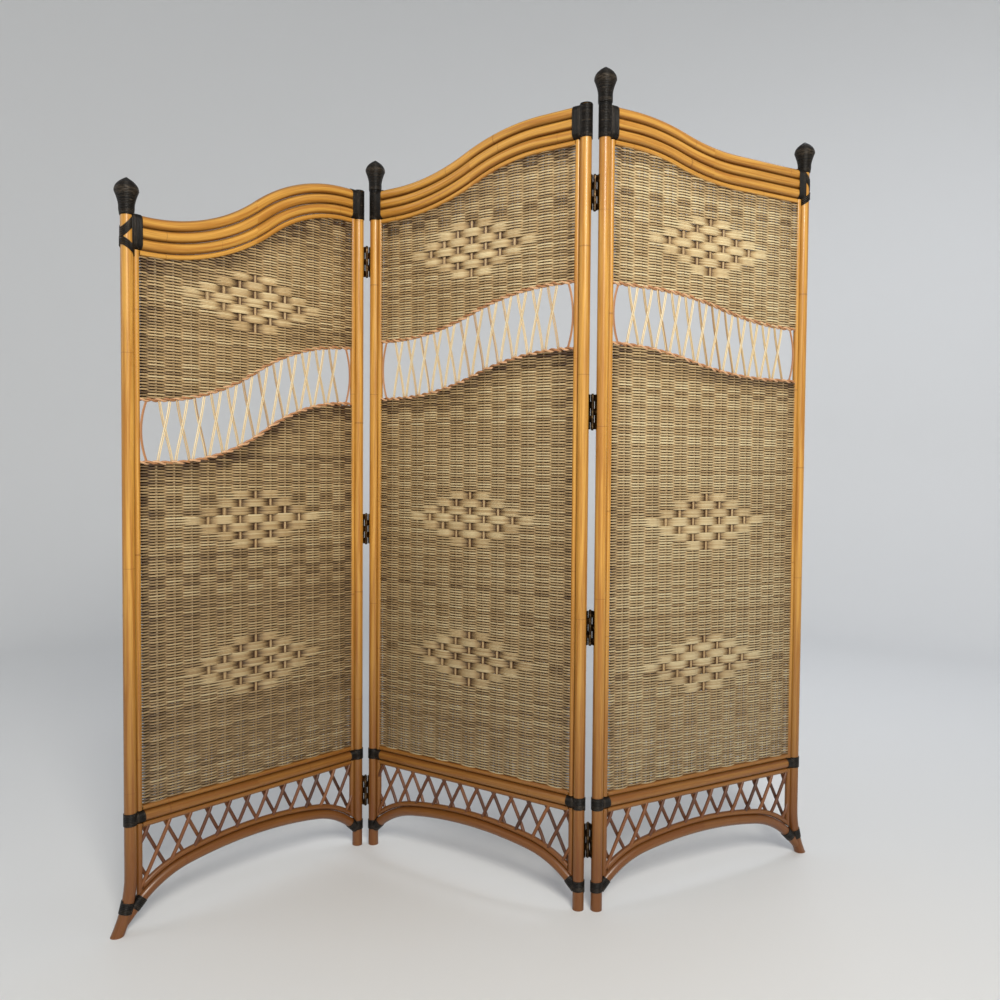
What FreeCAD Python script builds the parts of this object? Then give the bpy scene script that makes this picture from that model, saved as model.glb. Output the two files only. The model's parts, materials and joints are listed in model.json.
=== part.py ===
import FreeCAD, Part
import math
import os
from dataclasses import dataclass

# Three-panel folding screen of bent rattan poles: each panel has two posts, three stacked rails
# with an ogee crest, a woven field parted by an openwork band, and a lattice over an arched foot.
# Panel frame: X from the left post's axis to the right one, Y to the back, Z up from the floor.

V = FreeCAD.Vector

# Driving sizes in millimetres and degrees

# Panels and folds
panel_width = 608.0
left_fold_angle = 83.8
right_fold_angle = 65.3
crest_outer_left = 1480.0
crest_left_fold = 1658.0
crest_right_fold = 1746.0
crest_outer_right = 1704.0
left_panel_run_left = 42.0
left_panel_run_right = 42.0
middle_panel_run_left = 70.0
middle_panel_run_right = 107.0
right_panel_run_left = 70.0
right_panel_run_right = 230.0

# Poles
post_diameter = 25.0
rail_diameter = 23.0
trim_diameter = 12.5
rail_names = ("upper", "centre", "lower")
seat_gap = 0.3
mid_rail_height = 236.0

# Splayed outer feet
flare_height = 120.0
flare_reach = 30.0

# Arch between the feet, measured on its underside
arch_crown_height = 117.0
arch_crown_radius = 1000.0
arch_haunch_radius = 214.0
arch_spring_angle = 45.0
arch_inset = 18.5

# Lattice above the arch
lattice_rod_diameter = 8.0
lattice_pitch = 49.3
lattice_rise = 47.0
lattice_drop = 8.0
lattice_shortest = 14.0

# Woven field and its openwork band
weave_thickness = 4.5
weave_rib_thickness = 10.5
border_diameter = 10.0
stake_diameter = 4.5
stake_pitch = 40.5
stake_count = 13
stake_top_spread = 8.0
stake_foot_spread = 3.5
stake_edge = 14.0

# Borders of the openwork band: how far they hang below the crest at the posts, and their level runs
left_upper_drop_left = 375.0
left_upper_drop_right = 394.0
left_upper_run_left = 37.0
left_upper_run_right = 30.0
left_lower_drop_left = 505.5
left_lower_drop_right = 532.0
left_lower_run_left = 82.0
left_lower_run_right = 30.0
middle_upper_drop_left = 375.0
middle_upper_drop_right = 371.5
middle_upper_run_left = 60.5
middle_upper_run_right = 64.0
middle_lower_drop_left = 519.0
middle_lower_drop_right = 516.0
middle_lower_run_left = 68.0
middle_lower_run_right = 49.0
right_upper_drop_left = 374.5
right_upper_drop_right = 389.0
right_upper_run_left = 111.0
right_upper_run_right = 34.0
right_lower_drop_left = 504.5
right_lower_drop_right = 517.0
right_lower_run_left = 30.0
right_lower_run_right = 121.0

# Wound bindings
binding_thickness = 1.8
binding_clearance = 0.2
fold_gap = 0.4
foot_binding_low = 41.0
foot_binding_high = 65.0
cross_strap_width = 15.0

# Finials
finial_collar_diameter = 28.5
finial_collar_height = 5.0
finial_neck_diameter = 32.0
finial_neck_height = 23.0
outer_finial_neck_height = 15.0
finial_flare_height = 26.0
finial_swell_diameter = 50.0
finial_dome_height = 25.0
finial_tip_diameter = 6.0

# Butt hinges
hinge_height = 75.0
leaf_thickness = 2.0
leaf_width = 9.0
leaf_seat_depth = 2.5
knuckle_diameter = 8.0
knuckle_count = 5
knuckle_gap = 0.3
pin_diameter = 4.0
pin_clearance = 0.05
pin_cap_diameter = 6.0
pin_cap_height = 2.0
left_hinge_low = 140.0
left_hinge_high = 1484.0
left_hinge_count = 3
right_hinge_low = 153.0
right_hinge_high = 1561.0
right_hinge_count = 4

# Sizes that follow from the driving ones
post_radius = post_diameter / 2
rail_radius = rail_diameter / 2
trim_radius = trim_diameter / 2
border_radius = border_diameter / 2
rail_count = len(rail_names)
rail_step = rail_diameter + seat_gap
rail_stack = rail_count * rail_diameter + (rail_count - 1) * seat_gap
head_offset = rail_stack + seat_gap + trim_radius
trim_step = rail_radius + seat_gap + trim_radius
stile_x = post_radius + seat_gap + trim_radius
binding_reach = stile_x + trim_radius
field_x = binding_reach + seat_gap
binding_step = rail_radius + binding_thickness
post_tip = binding_thickness + seat_gap
sill_z = mid_rail_height + trim_step
lattice_head_z = mid_rail_height - trim_step
pin_offset = post_radius + binding_thickness + fold_gap / 2
leaf_face = post_radius - leaf_seat_depth
leaf_edge = pin_offset - knuckle_diameter / 2 - 2 * knuckle_gap
finial_height = finial_neck_height + finial_flare_height + finial_dome_height
tall = max(crest_outer_left, crest_left_fold, crest_right_fold, crest_outer_right) + finial_height
front = -1.0
back = 1.0


@dataclass(frozen=True)
class Ogee:
    """Curve along a panel: its heights at the two posts and the level run beside each."""

    left: float
    right: float
    run_left: float
    run_right: float


@dataclass(frozen=True)
class Panel:
    """One panel: its name, its crest, the borders of its openwork band and what its two posts carry."""

    name: str
    crest: Ogee
    upper_border: Ogee
    lower_border: Ogee
    flare_left: bool
    flare_right: bool
    finial_left: bool
    finial_right: bool


def hung(crest, drop_left, drop_right, run_left, run_right):
    """Curve that hangs below a crest by its own drop at each post."""
    return Ogee(crest.left - drop_left, crest.right - drop_right, run_left, run_right)


left_crest = Ogee(crest_outer_left, crest_left_fold, left_panel_run_left, left_panel_run_right)
middle_crest = Ogee(crest_left_fold, crest_right_fold, middle_panel_run_left, middle_panel_run_right)
right_crest = Ogee(crest_right_fold, crest_outer_right, right_panel_run_left, right_panel_run_right)
left_panel = Panel(
    "left",
    left_crest,
    hung(left_crest, left_upper_drop_left, left_upper_drop_right, left_upper_run_left, left_upper_run_right),
    hung(left_crest, left_lower_drop_left, left_lower_drop_right, left_lower_run_left, left_lower_run_right),
    flare_left=True, flare_right=False, finial_left=True, finial_right=False)
middle_panel = Panel(
    "middle",
    middle_crest,
    hung(middle_crest, middle_upper_drop_left, middle_upper_drop_right,
         middle_upper_run_left, middle_upper_run_right),
    hung(middle_crest, middle_lower_drop_left, middle_lower_drop_right,
         middle_lower_run_left, middle_lower_run_right),
    flare_left=False, flare_right=False, finial_left=True, finial_right=False)
right_panel = Panel(
    "right",
    right_crest,
    hung(right_crest, right_upper_drop_left, right_upper_drop_right,
         right_upper_run_left, right_upper_run_right),
    hung(right_crest, right_lower_drop_left, right_lower_drop_right,
         right_lower_run_left, right_lower_run_right),
    flare_left=False, flare_right=True, finial_left=True, finial_right=True)


# Straight and bent poles

def line(start, end):
    """Straight edge between two points."""
    return Part.LineSegment(start, end).toShape()


def arc(centre, start, end):
    """Arc of under a half circle about a centre."""
    radius = (start - centre).Length
    middle = ((start - centre) + (end - centre)).normalize() * radius + centre
    return Part.Arc(start, middle, end).toShape()


def straight_pole(start, end, diameter):
    """Round pole between two points."""
    axis = end - start
    return Part.makeCylinder(diameter / 2, axis.Length, start, axis)


def bent_pole(edges, diameter):
    """Round pole swept along tangent edges."""
    path = Part.Wire(edges)
    start = edges[0].valueAt(edges[0].FirstParameter)
    tangent = edges[0].tangentAt(edges[0].FirstParameter)
    section = Part.Wire(Part.Circle(start, tangent, diameter / 2).toShape())
    return path.makePipe(Part.Face(section))


def largest(shape):
    """Solid of the greatest volume in a shape."""
    return max(shape.Solids, key=lambda solid: solid.Volume)


def slab(x_low, x_high, z_low, z_high, depth):
    """Upright block centred on the panel's plane."""
    return Part.makeBox(x_high - x_low, depth, z_high - z_low, V(x_low, -depth / 2, z_low))


# Ogee curves: level runs joined by two equal arcs

def ogee_centres(curve):
    """Radius of an ogee, its sense and its two arc centres."""
    x_low = curve.run_left
    x_high = panel_width - curve.run_right
    rise = curve.right - curve.left
    sense = 1.0 if rise > 0 else -1.0
    radius = ((x_high - x_low) ** 2 + rise ** 2) / (4 * abs(rise))
    first = V(x_low, 0, curve.left + sense * radius)
    second = V(x_high, 0, curve.right - sense * radius)
    return radius, sense, first, second


def ogee_edges(curve, offset, x_start, x_end):
    """Edges of an ogee set down square to itself by an offset."""
    radius, sense, first, second = ogee_centres(curve)
    first_radius = radius + sense * offset
    run_left = V(curve.run_left, 0, curve.left - offset)
    run_right = V(panel_width - curve.run_right, 0, curve.right - offset)
    towards = (second - first).normalize()
    joint = first + towards * first_radius
    return [
        line(V(x_start, 0, run_left.z), run_left),
        arc(first, run_left, joint),
        arc(second, joint, run_right),
        line(run_right, V(x_end, 0, run_right.z)),
    ]


def ogee_height(curve, x):
    """Height of an ogee at a distance along the panel."""
    radius, sense, first, second = ogee_centres(curve)
    if x <= first.x:
        return curve.left
    if x >= second.x:
        return curve.right
    if x <= (first.x + second.x) / 2:
        return first.z - sense * math.sqrt(radius ** 2 - (x - first.x) ** 2)
    return second.z + sense * math.sqrt(radius ** 2 - (x - second.x) ** 2)


def ogee_slope(curve, x):
    """Direction of an ogee at a distance along the panel."""
    step = seat_gap
    return V(2 * step, 0, ogee_height(curve, x + step) - ogee_height(curve, x - step)).normalize()


# The three-centred arch

def arch_crown():
    """Centre of the arch's crown and the angle from upright at which its haunches begin."""
    half_span = panel_width / 2 - arch_inset
    spring = math.radians(arch_spring_angle)
    reach = (half_span - arch_haunch_radius * math.sin(spring)) / (arch_crown_radius - arch_haunch_radius)
    return V(panel_width / 2, 0, arch_crown_height - arch_crown_radius), math.asin(reach)


def arch_half(sign, offset, run):
    """Points of one half of the raised arch curve: haunch centre, shoulder, foot and end of its run."""
    crown, turn = arch_crown()
    spring = math.radians(arch_spring_angle)
    lean = V(sign * math.sin(turn), 0, math.cos(turn))
    out = V(sign * math.sin(spring), 0, math.cos(spring))
    down = V(sign * math.cos(spring), 0, -math.sin(spring))
    haunch = crown + lean * (arch_crown_radius - arch_haunch_radius)
    shoulder = crown + lean * (arch_crown_radius + offset)
    foot = haunch + out * (arch_haunch_radius + offset)
    return haunch, shoulder, foot, foot + down * run


def arch_edges(offset, run):
    """Edges of the arch's underside curve raised square to itself by an offset, with end runs."""
    crown = arch_crown()[0]
    left_haunch, left_shoulder, left_foot, left_end = arch_half(-1, offset, run)
    right_haunch, right_shoulder, right_foot, right_end = arch_half(1, offset, run)
    return [
        line(left_end, left_foot),
        arc(left_haunch, left_foot, left_shoulder),
        arc(crown, left_shoulder, right_shoulder),
        arc(right_haunch, right_shoulder, right_foot),
        line(right_foot, right_end),
    ]


def under_arch(offset, depth):
    """Block that fills the space below the arch curve, down to the floor."""
    edges = arch_edges(offset, panel_width / 4)
    left_end = edges[0].valueAt(edges[0].FirstParameter)
    right_end = edges[-1].valueAt(edges[-1].LastParameter)
    closing = line(right_end, left_end)
    face = Part.Face(Part.Wire(edges + [closing]))
    return face.translated(V(0, -depth / 2, 0)).extrude(V(0, depth, 0))


# Posts

def post_top(panel, right):
    """Height of a post's top, which stands clear of the binding where it carries a finial."""
    crest = panel.crest.right if right else panel.crest.left
    finial_here = panel.finial_right if right else panel.finial_left
    return crest + post_tip if finial_here else crest


def flare_radius():
    """Radius of a splayed foot's bend."""
    return (flare_height ** 2 + flare_reach ** 2) / (2 * flare_reach)


def flare_shift(panel, right, z):
    """How far outward a post's axis lies at a height below the start of its splay."""
    flared = panel.flare_right if right else panel.flare_left
    fall = max(0.0, flare_height - z)
    return flare_radius() - math.sqrt(flare_radius() ** 2 - fall ** 2) if flared else 0.0


def post(panel, right, extra):
    """A post, splayed at the foot on an outer side, with its radius enlarged by an extra."""
    x = panel_width if right else 0.0
    top = post_top(panel, right)
    flared = panel.flare_right if right else panel.flare_left
    diameter = post_diameter + 2 * extra
    if not flared:
        return straight_pole(V(x, 0, 0), V(x, 0, top), diameter)
    outward = 1.0 if right else -1.0
    radius = flare_radius()
    centre = V(x + outward * radius, 0, flare_height)
    turn = math.asin((flare_height + post_diameter) / radius)
    tip = centre + V(-outward * math.cos(turn), 0, -math.sin(turn)) * radius
    bend = arc(centre, V(x, 0, flare_height), tip)
    shaft = line(V(x, 0, top), V(x, 0, flare_height))
    pole = bent_pole([shaft, bend], diameter)
    ground = slab(-panel_width, 2 * panel_width, -panel_width, 0, panel_width)
    return pole.cut(ground)


def hinge_seat(x_face, outward, side_y, centre_z):
    """Block that planes a flat on a post for a hinge leaf, open to the side of the knuckles."""
    x_low = min(x_face, x_face + outward * post_diameter)
    y_inner = side_y * (leaf_edge - leaf_width - knuckle_gap)
    y_outer = side_y * post_diameter
    height = hinge_height + 2 * knuckle_gap
    corner = V(x_low, min(y_inner, y_outer), centre_z - height / 2)
    return Part.makeBox(post_diameter, abs(y_outer - y_inner), height, corner)


def hinge_heights(low, high, count):
    """Heights of the middles of a row of hinges."""
    return [low + (high - low) * index / (count - 1) for index in range(count)]


left_hinges = hinge_heights(left_hinge_low, left_hinge_high, left_hinge_count)
right_hinges = hinge_heights(right_hinge_low, right_hinge_high, right_hinge_count)


def seated_post(panel, right, hinges, side_y):
    """A post with a planed flat for each of its hinges, whose knuckles lie to one side."""
    pole = post(panel, right, 0.0)
    outward = 1.0 if right else -1.0
    x_face = (panel_width if right else 0.0) + outward * leaf_face
    for height in hinges:
        pole = pole.cut(hinge_seat(x_face, outward, side_y, height))
    return pole


# Rails, inner frames and lattice of a panel

def top_rail(panel, index):
    """One of the stacked crest rails, its ends hollowed to the posts."""
    offset = rail_radius + index * rail_step
    rail = bent_pole(ogee_edges(panel.crest, offset, 0.0, panel_width), rail_diameter)
    return largest(rail.cut([post(panel, False, seat_gap), post(panel, True, seat_gap)]))


def weave_frame(panel):
    """Thin poles round the woven field: two stiles, the head under the rails and the sill."""
    low = mid_rail_height + binding_step + seat_gap
    drop = rail_stack + binding_thickness + seat_gap
    poles = []
    for x in (stile_x, panel_width - stile_x):
        high = ogee_height(panel.crest, x) - drop
        poles.append(straight_pole(V(x, 0, low), V(x, 0, high), trim_diameter))
    head = ogee_edges(panel.crest, head_offset, field_x, panel_width - field_x)
    poles.append(bent_pole(head, trim_diameter))
    poles.append(straight_pole(V(field_x, 0, sill_z), V(panel_width - field_x, 0, sill_z), trim_diameter))
    return poles


def mid_rail(panel):
    """Rail between the woven field and the lattice."""
    rail = straight_pole(V(0, 0, mid_rail_height), V(panel_width, 0, mid_rail_height), rail_diameter)
    return largest(rail.cut([post(panel, False, seat_gap), post(panel, True, seat_gap)]))


def arch_tube(extra):
    """Whole arch pole running through both posts, with its radius enlarged by an extra."""
    return bent_pole(arch_edges(rail_radius, 2 * post_diameter), rail_diameter + 2 * extra)


def arch_end(right, extra):
    """One end of the arch pole with its radius enlarged by an extra."""
    edges = arch_edges(rail_radius, 2 * post_diameter)
    return bent_pole(edges[3:] if right else edges[:2], rail_diameter + 2 * extra)


def arch_rail(panel):
    """Arched rail, its ends hollowed to the posts."""
    return largest(arch_tube(0.0).cut([post(panel, False, seat_gap), post(panel, True, seat_gap)]))


def lattice_frame():
    """Thin poles round the lattice: two short stiles, the head and the bent pole over the arch."""
    high = mid_rail_height - binding_step - seat_gap
    rest = under_arch(rail_diameter + binding_thickness + seat_gap, 2 * post_diameter)
    opening = slab(field_x, panel_width - field_x, 0, mid_rail_height, 2 * post_diameter)
    poles = []
    for x in (stile_x, panel_width - stile_x):
        poles.append(largest(straight_pole(V(x, 0, 0), V(x, 0, high), trim_diameter).cut(rest)))
    trim = bent_pole(arch_edges(rail_diameter + seat_gap + trim_radius, 0.1), trim_diameter)
    poles.append(largest(trim.common(opening)))
    head_left = V(field_x, 0, lattice_head_z)
    head_right = V(panel_width - field_x, 0, lattice_head_z)
    poles.append(straight_pole(head_left, head_right, trim_diameter))
    return poles


def arch_side(x, z, offset):
    """Distance of a point above the raised arch curve, and the curve's outward direction there."""
    centre, shoulder = arch_crown()
    radius = arch_crown_radius + offset
    away = V(x, 0, z) - centre
    sign = -1.0 if x < panel_width / 2 else 1.0
    if abs(math.atan2(away.x, away.z)) > shoulder:
        lean = V(sign * math.sin(shoulder), 0, math.cos(shoulder))
        away = V(x, 0, z) - centre - lean * (arch_crown_radius - arch_haunch_radius)
        radius = arch_haunch_radius + offset
    return away.Length - radius, away.normalize()


def rod_room(point, along):
    """Room between a lattice rod's square end at a point and the poles round the lattice."""
    radius = lattice_rod_diameter / 2
    side_room = min(point.x - field_x, panel_width - field_x - point.x) - radius * abs(along.z)
    top_room = lattice_head_z - trim_radius - seat_gap - point.z - radius * abs(along.x)
    above, outward = arch_side(point.x, point.z, rail_diameter + trim_diameter + 2 * seat_gap)
    arch_room = above - radius * math.sqrt(max(0.0, 1 - along.dot(outward) ** 2))
    return min(side_room, top_room, arch_room)


def lattice_rods():
    """Two layers of slanting rods, each as long as the lattice frame leaves room for."""
    cross_z = lattice_head_z - trim_radius - lattice_drop
    layer_y = (lattice_rod_diameter + seat_gap) / 2
    steps = int(2 * mid_rail_height / seat_gap)
    crossings = int(panel_width / lattice_pitch)
    rods = []
    for y, sense in ((-layer_y, 1.0), (layer_y, -1.0)):
        along = V(sense * lattice_pitch / 2, 0, lattice_rise).normalize()
        for index in range(-crossings, crossings):
            cross = V(panel_width / 2 + (index + 0.5) * lattice_pitch, 0, cross_z)
            points = [cross + along * (seat_gap * step - mid_rail_height) for step in range(steps)]
            free = [point for point in points if rod_room(point, along) > 0]
            if free and (free[-1] - free[0]).Length > lattice_shortest:
                layer = V(0, y, 0)
                rods.append(straight_pole(free[0] + layer, free[-1] + layer, lattice_rod_diameter))
    return rods


# Woven field

def stake_places():
    """Places of the stakes along a panel."""
    first = panel_width / 2 - (stake_count - 1) * stake_pitch / 2
    return [first + index * stake_pitch for index in range(stake_count)]


def ribbed_plan():
    """Plan of the weave: thick where the rows pass a stake on both sides, thin where they change over."""
    half_rib = weave_rib_thickness / 2
    half_thin = weave_thickness / 2
    places = stake_places()
    outline = [V(field_x, half_thin, 0)]
    for place in places:
        outline.append(V(place, half_rib, 0))
        outline.append(V(place + stake_pitch / 2, half_thin, 0))
    outline[-1] = V(panel_width - field_x, half_thin, 0)
    mirrored = [V(point.x, -point.y, 0) for point in reversed(outline)]
    return Part.Face(Part.makePolygon(outline + mirrored + outline[:1]))


def field_sheet(top_edges, bottom_edges):
    """Ribbed sheet between an upper and a lower run of edges."""
    top_left = top_edges[0].valueAt(top_edges[0].FirstParameter)
    top_right = top_edges[-1].valueAt(top_edges[-1].LastParameter)
    bottom_left = bottom_edges[0].valueAt(bottom_edges[0].FirstParameter)
    bottom_right = bottom_edges[-1].valueAt(bottom_edges[-1].LastParameter)
    edges = top_edges + [line(top_right, bottom_right)] + bottom_edges + [line(bottom_left, top_left)]
    face = Part.Face(Part.Wire(Part.__sortEdges__(edges)))
    blank = face.translated(V(0, -weave_rib_thickness, 0)).extrude(V(0, 2 * weave_rib_thickness, 0))
    return largest(blank.common(ribbed_plan().extrude(V(0, 0, tall))))


def upper_weave(panel):
    """Woven sheet between the head pole and the openwork band."""
    x_end = panel_width - field_x
    top = ogee_edges(panel.crest, head_offset + trim_radius + seat_gap, field_x, x_end)
    bottom = ogee_edges(panel.upper_border, -border_radius - seat_gap, field_x, x_end)
    return field_sheet(top, bottom)


def lower_weave(panel):
    """Woven sheet between the openwork band and the sill."""
    x_end = panel_width - field_x
    bottom_z = sill_z + trim_radius + seat_gap
    top = ogee_edges(panel.lower_border, border_radius + seat_gap, field_x, x_end)
    bottom = [line(V(field_x, 0, bottom_z), V(x_end, 0, bottom_z))]
    return field_sheet(top, bottom)


def crossed_stake(panel, top_x, foot_x, y):
    """Stake from the upper border to the lower one, its square ends just clear of both."""
    top = V(top_x, y, ogee_height(panel.upper_border, top_x))
    foot = V(foot_x, y, ogee_height(panel.lower_border, foot_x))
    along = (foot - top).normalize()
    ends = []
    for border, point, sense in ((panel.upper_border, top, 1.0), (panel.lower_border, foot, -1.0)):
        cosine = abs(along.dot(ogee_slope(border, point.x)))
        sine = math.sqrt(1 - cosine ** 2)
        inset = (border_radius + seat_gap + stake_diameter / 2 * cosine) / sine
        ends.append(point + along * (sense * inset))
    return straight_pole(ends[0], ends[1], stake_diameter)


def border_tube(border, extra):
    """A rolled border with its radius enlarged by an extra."""
    return bent_pole(ogee_edges(border, 0.0, field_x, panel_width - field_x), border_diameter + 2 * extra)


def edge_stake(panel, right):
    """Rod bowed from border to border so that it bears on a stile."""
    inward = -1.0 if right else 1.0
    edge_x = panel_width - field_x if right else field_x
    end_x = edge_x + inward * stake_edge
    top = V(end_x, 0, ogee_height(panel.upper_border, end_x))
    foot = V(end_x, 0, ogee_height(panel.lower_border, end_x))
    middle = V(edge_x + inward * stake_diameter / 2, 0, (top.z + foot.z) / 2)
    rod = bent_pole([Part.Arc(top, middle, foot).toShape()], stake_diameter)
    borders = [border_tube(border, seat_gap) for border in (panel.upper_border, panel.lower_border)]
    return largest(rod.cut(borders))


def openwork_band(panel):
    """Two rolled borders, the stakes that part and cross between them in two layers, and two edge rods."""
    pieces = [border_tube(panel.upper_border, 0.0), border_tube(panel.lower_border, 0.0)]
    layer_y = (stake_diameter + seat_gap) / 2
    places = stake_places()
    for left, right in zip(places, places[1:]):
        left_top = left + stake_top_spread
        right_top = right - stake_top_spread
        left_foot = left + stake_foot_spread
        right_foot = right - stake_foot_spread
        pieces.append(crossed_stake(panel, left_top, right_foot, -layer_y))
        pieces.append(crossed_stake(panel, right_top, left_foot, layer_y))
    return pieces + [edge_stake(panel, False), edge_stake(panel, True)]


# Wound bindings

def block_binding(x, inward, low_axis, high_axis, cover):
    """Wrap round a post and the rail ends that meet it, closed over the post where that ends inside."""
    far = x + inward * binding_reach
    beyond = far + inward * post_diameter
    low = low_axis - binding_step
    high = high_axis + binding_step
    width = post_diameter + 2 * binding_thickness
    wrap = straight_pole(V(x, 0, low), V(x, 0, high), width)
    wrap = wrap.fuse(slab(min(x, far), max(x, far), low, high, width))
    space = rail_radius + binding_clearance
    rail_space = slab(min(x, beyond), max(x, beyond), low_axis - space, high_axis + space, 2 * space)
    post_space = straight_pole(V(x, 0, 0), V(x, 0, cover), post_diameter + 2 * binding_clearance)
    return wrap.cut([rail_space, post_space]).removeSplitter()


def crossed_binding(x, inward, low_axis, high_axis):
    """Sleeve round the rail ends with two straps from its top and bottom that meet outside the post."""
    width = post_diameter + 2 * binding_thickness
    near = x + inward * post_radius / 3
    far = x + inward * binding_reach
    beyond = far + inward * post_diameter
    low = low_axis - binding_step
    high = high_axis + binding_step
    shape = slab(min(near, far), max(near, far), low, high, width)
    post_skin = straight_pole(V(x, 0, low), V(x, 0, high), width)
    meeting = V(x - inward * post_radius, 0, (low + high) / 2)
    lean = math.degrees(math.atan2(high - low, 2 * post_diameter))
    half_strap = cross_strap_width / 2
    for angle in (lean, -lean):
        strap = slab(-2 * post_diameter, 2 * post_diameter, -half_strap, half_strap, 2 * width)
        strap = strap.rotated(V(0, 0, 0), V(0, 1, 0), angle)
        shape = shape.fuse(post_skin.common(strap.translated(meeting)))
    space = rail_radius + binding_clearance
    rail_space = slab(min(x, beyond), max(x, beyond), low_axis - space, high_axis + space, 2 * space)
    post_space = straight_pole(V(x, 0, 0), V(x, 0, tall), post_diameter + 2 * binding_clearance)
    return largest(shape.cut([rail_space, post_space])).removeSplitter()


def top_binding(panel, right):
    """Binding that ties the ends of the crest rails to a post."""
    x = panel_width if right else 0.0
    inward = -1.0 if right else 1.0
    crest = panel.crest.right if right else panel.crest.left
    flared = panel.flare_right if right else panel.flare_left
    finial_here = panel.finial_right if right else panel.finial_left
    high_axis = crest - rail_radius
    low_axis = crest - rail_stack + rail_radius
    if flared:
        return crossed_binding(x, inward, low_axis, high_axis)
    cover = tall if finial_here else crest + binding_clearance
    return block_binding(x, inward, low_axis, high_axis, cover)


def mid_binding(right):
    """Binding that ties the mid rail's end to a post."""
    x = panel_width if right else 0.0
    return block_binding(x, -1.0 if right else 1.0, mid_rail_height, mid_rail_height, tall)


def foot_binding(panel, right):
    """Binding at an arch's end: a wrap round the post, open to the arch, and a sleeve on the arch."""
    x = panel_width if right else 0.0
    inward = -1.0 if right else 1.0
    depth = 4 * post_diameter
    outer = x - inward * panel_width / 4
    axis = x - inward * flare_shift(panel, right, foot_binding_low)
    near = x + inward * (post_radius + post_tip - flare_shift(panel, right, foot_binding_high))
    far = x + inward * binding_reach
    zone = slab(min(outer, far), max(outer, far), foot_binding_low, foot_binding_high, depth)
    passage_depth = rail_diameter + 2 * binding_clearance
    passage = slab(min(axis, far), max(axis, far), 0, mid_rail_height, passage_depth)
    wrap = post(panel, right, binding_thickness).common(zone)
    wrap = wrap.cut([post(panel, right, binding_clearance), passage])
    zone = slab(min(near, far), max(near, far), 0, mid_rail_height, depth)
    sleeve = arch_end(right, binding_thickness).common(zone).cut(arch_end(right, binding_clearance))
    return [largest(wrap), largest(sleeve)]


# Finials

def finial(x, z, neck_height):
    """Turned knob: a collar, a straight neck, a hollow flare, a swelling and a pointed dome."""
    collar = V(finial_collar_diameter / 2, 0, 0)
    neck = V(finial_neck_diameter / 2, 0, finial_collar_height)
    waist = V(finial_neck_diameter / 2, 0, neck_height)
    swell = V(finial_swell_diameter / 2, 0, neck_height + finial_flare_height)
    top = V(0, 0, neck_height + finial_flare_height + finial_dome_height)
    tip = V(finial_tip_diameter / 2, 0, top.z)
    hollow = (waist + swell) / 2 + V(-1, 0, 1) * ((swell.x - waist.x) / 6)
    dome = (swell + tip) / 2 + V(1, 0, 1) * ((swell.x - tip.x) / 8)
    outline = [
        line(V(0, 0, 0), collar),
        line(collar, neck),
        line(neck, waist),
        Part.Arc(waist, hollow, swell).toShape(),
        Part.Arc(swell, dome, tip).toShape(),
        line(tip, top),
        line(top, V(0, 0, 0)),
    ]
    knob = Part.Face(Part.Wire(outline)).revolve(V(0, 0, 0), V(0, 0, 1), 360)
    return knob.translated(V(x, 0, z))


# Hinges, made about the panel edge that carries them

def hinge_leaf(x_post, outward, side_y, centre_z, first_knuckle):
    """Leaf on a post's planed flat, with every second knuckle round the pin."""
    pin_x = x_post + outward * pin_offset
    pin_y = side_y * pin_offset
    x_face = x_post + outward * leaf_face
    x_outer = x_face + outward * leaf_thickness
    x_low = min(x_face, x_outer)
    edge_y = side_y * leaf_edge
    plate_y = min(edge_y, edge_y - side_y * leaf_width)
    low = centre_z - hinge_height / 2
    plate = Part.makeBox(leaf_thickness, leaf_width, hinge_height, V(x_low, plate_y, low))
    step = (hinge_height + knuckle_gap) / knuckle_count
    length = step - knuckle_gap
    pieces = []
    for index in range(first_knuckle, knuckle_count, 2):
        z = low + index * step
        pieces.append(Part.makeCylinder(knuckle_diameter / 2, length, V(pin_x, pin_y, z)))
        web = Part.makeBox(leaf_thickness, abs(pin_y - edge_y), length, V(x_low, min(pin_y, edge_y), z))
        pieces.append(web)
    bore = Part.makeCylinder(pin_diameter / 2 + pin_clearance, hinge_height, V(pin_x, pin_y, low))
    return plate.fuse(pieces).cut(bore).removeSplitter()


def hinge_pin(x_post, outward, side_y, centre_z):
    """Pin with a cap at each end."""
    place = V(x_post + outward * pin_offset, side_y * pin_offset, centre_z)
    half = hinge_height / 2 + knuckle_gap
    pin = Part.makeCylinder(pin_diameter / 2, 2 * half, place - V(0, 0, half))
    cap_radius = pin_cap_diameter / 2
    low_end = place - V(0, 0, half + pin_cap_height)
    low_cap = Part.makeCone(pin_diameter / 2, cap_radius, pin_cap_height, low_end)
    high_cap = Part.makeCone(cap_radius, pin_diameter / 2, pin_cap_height, place + V(0, 0, half))
    return pin.fuse([low_cap, high_cap])


# Panels as named pieces

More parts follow.
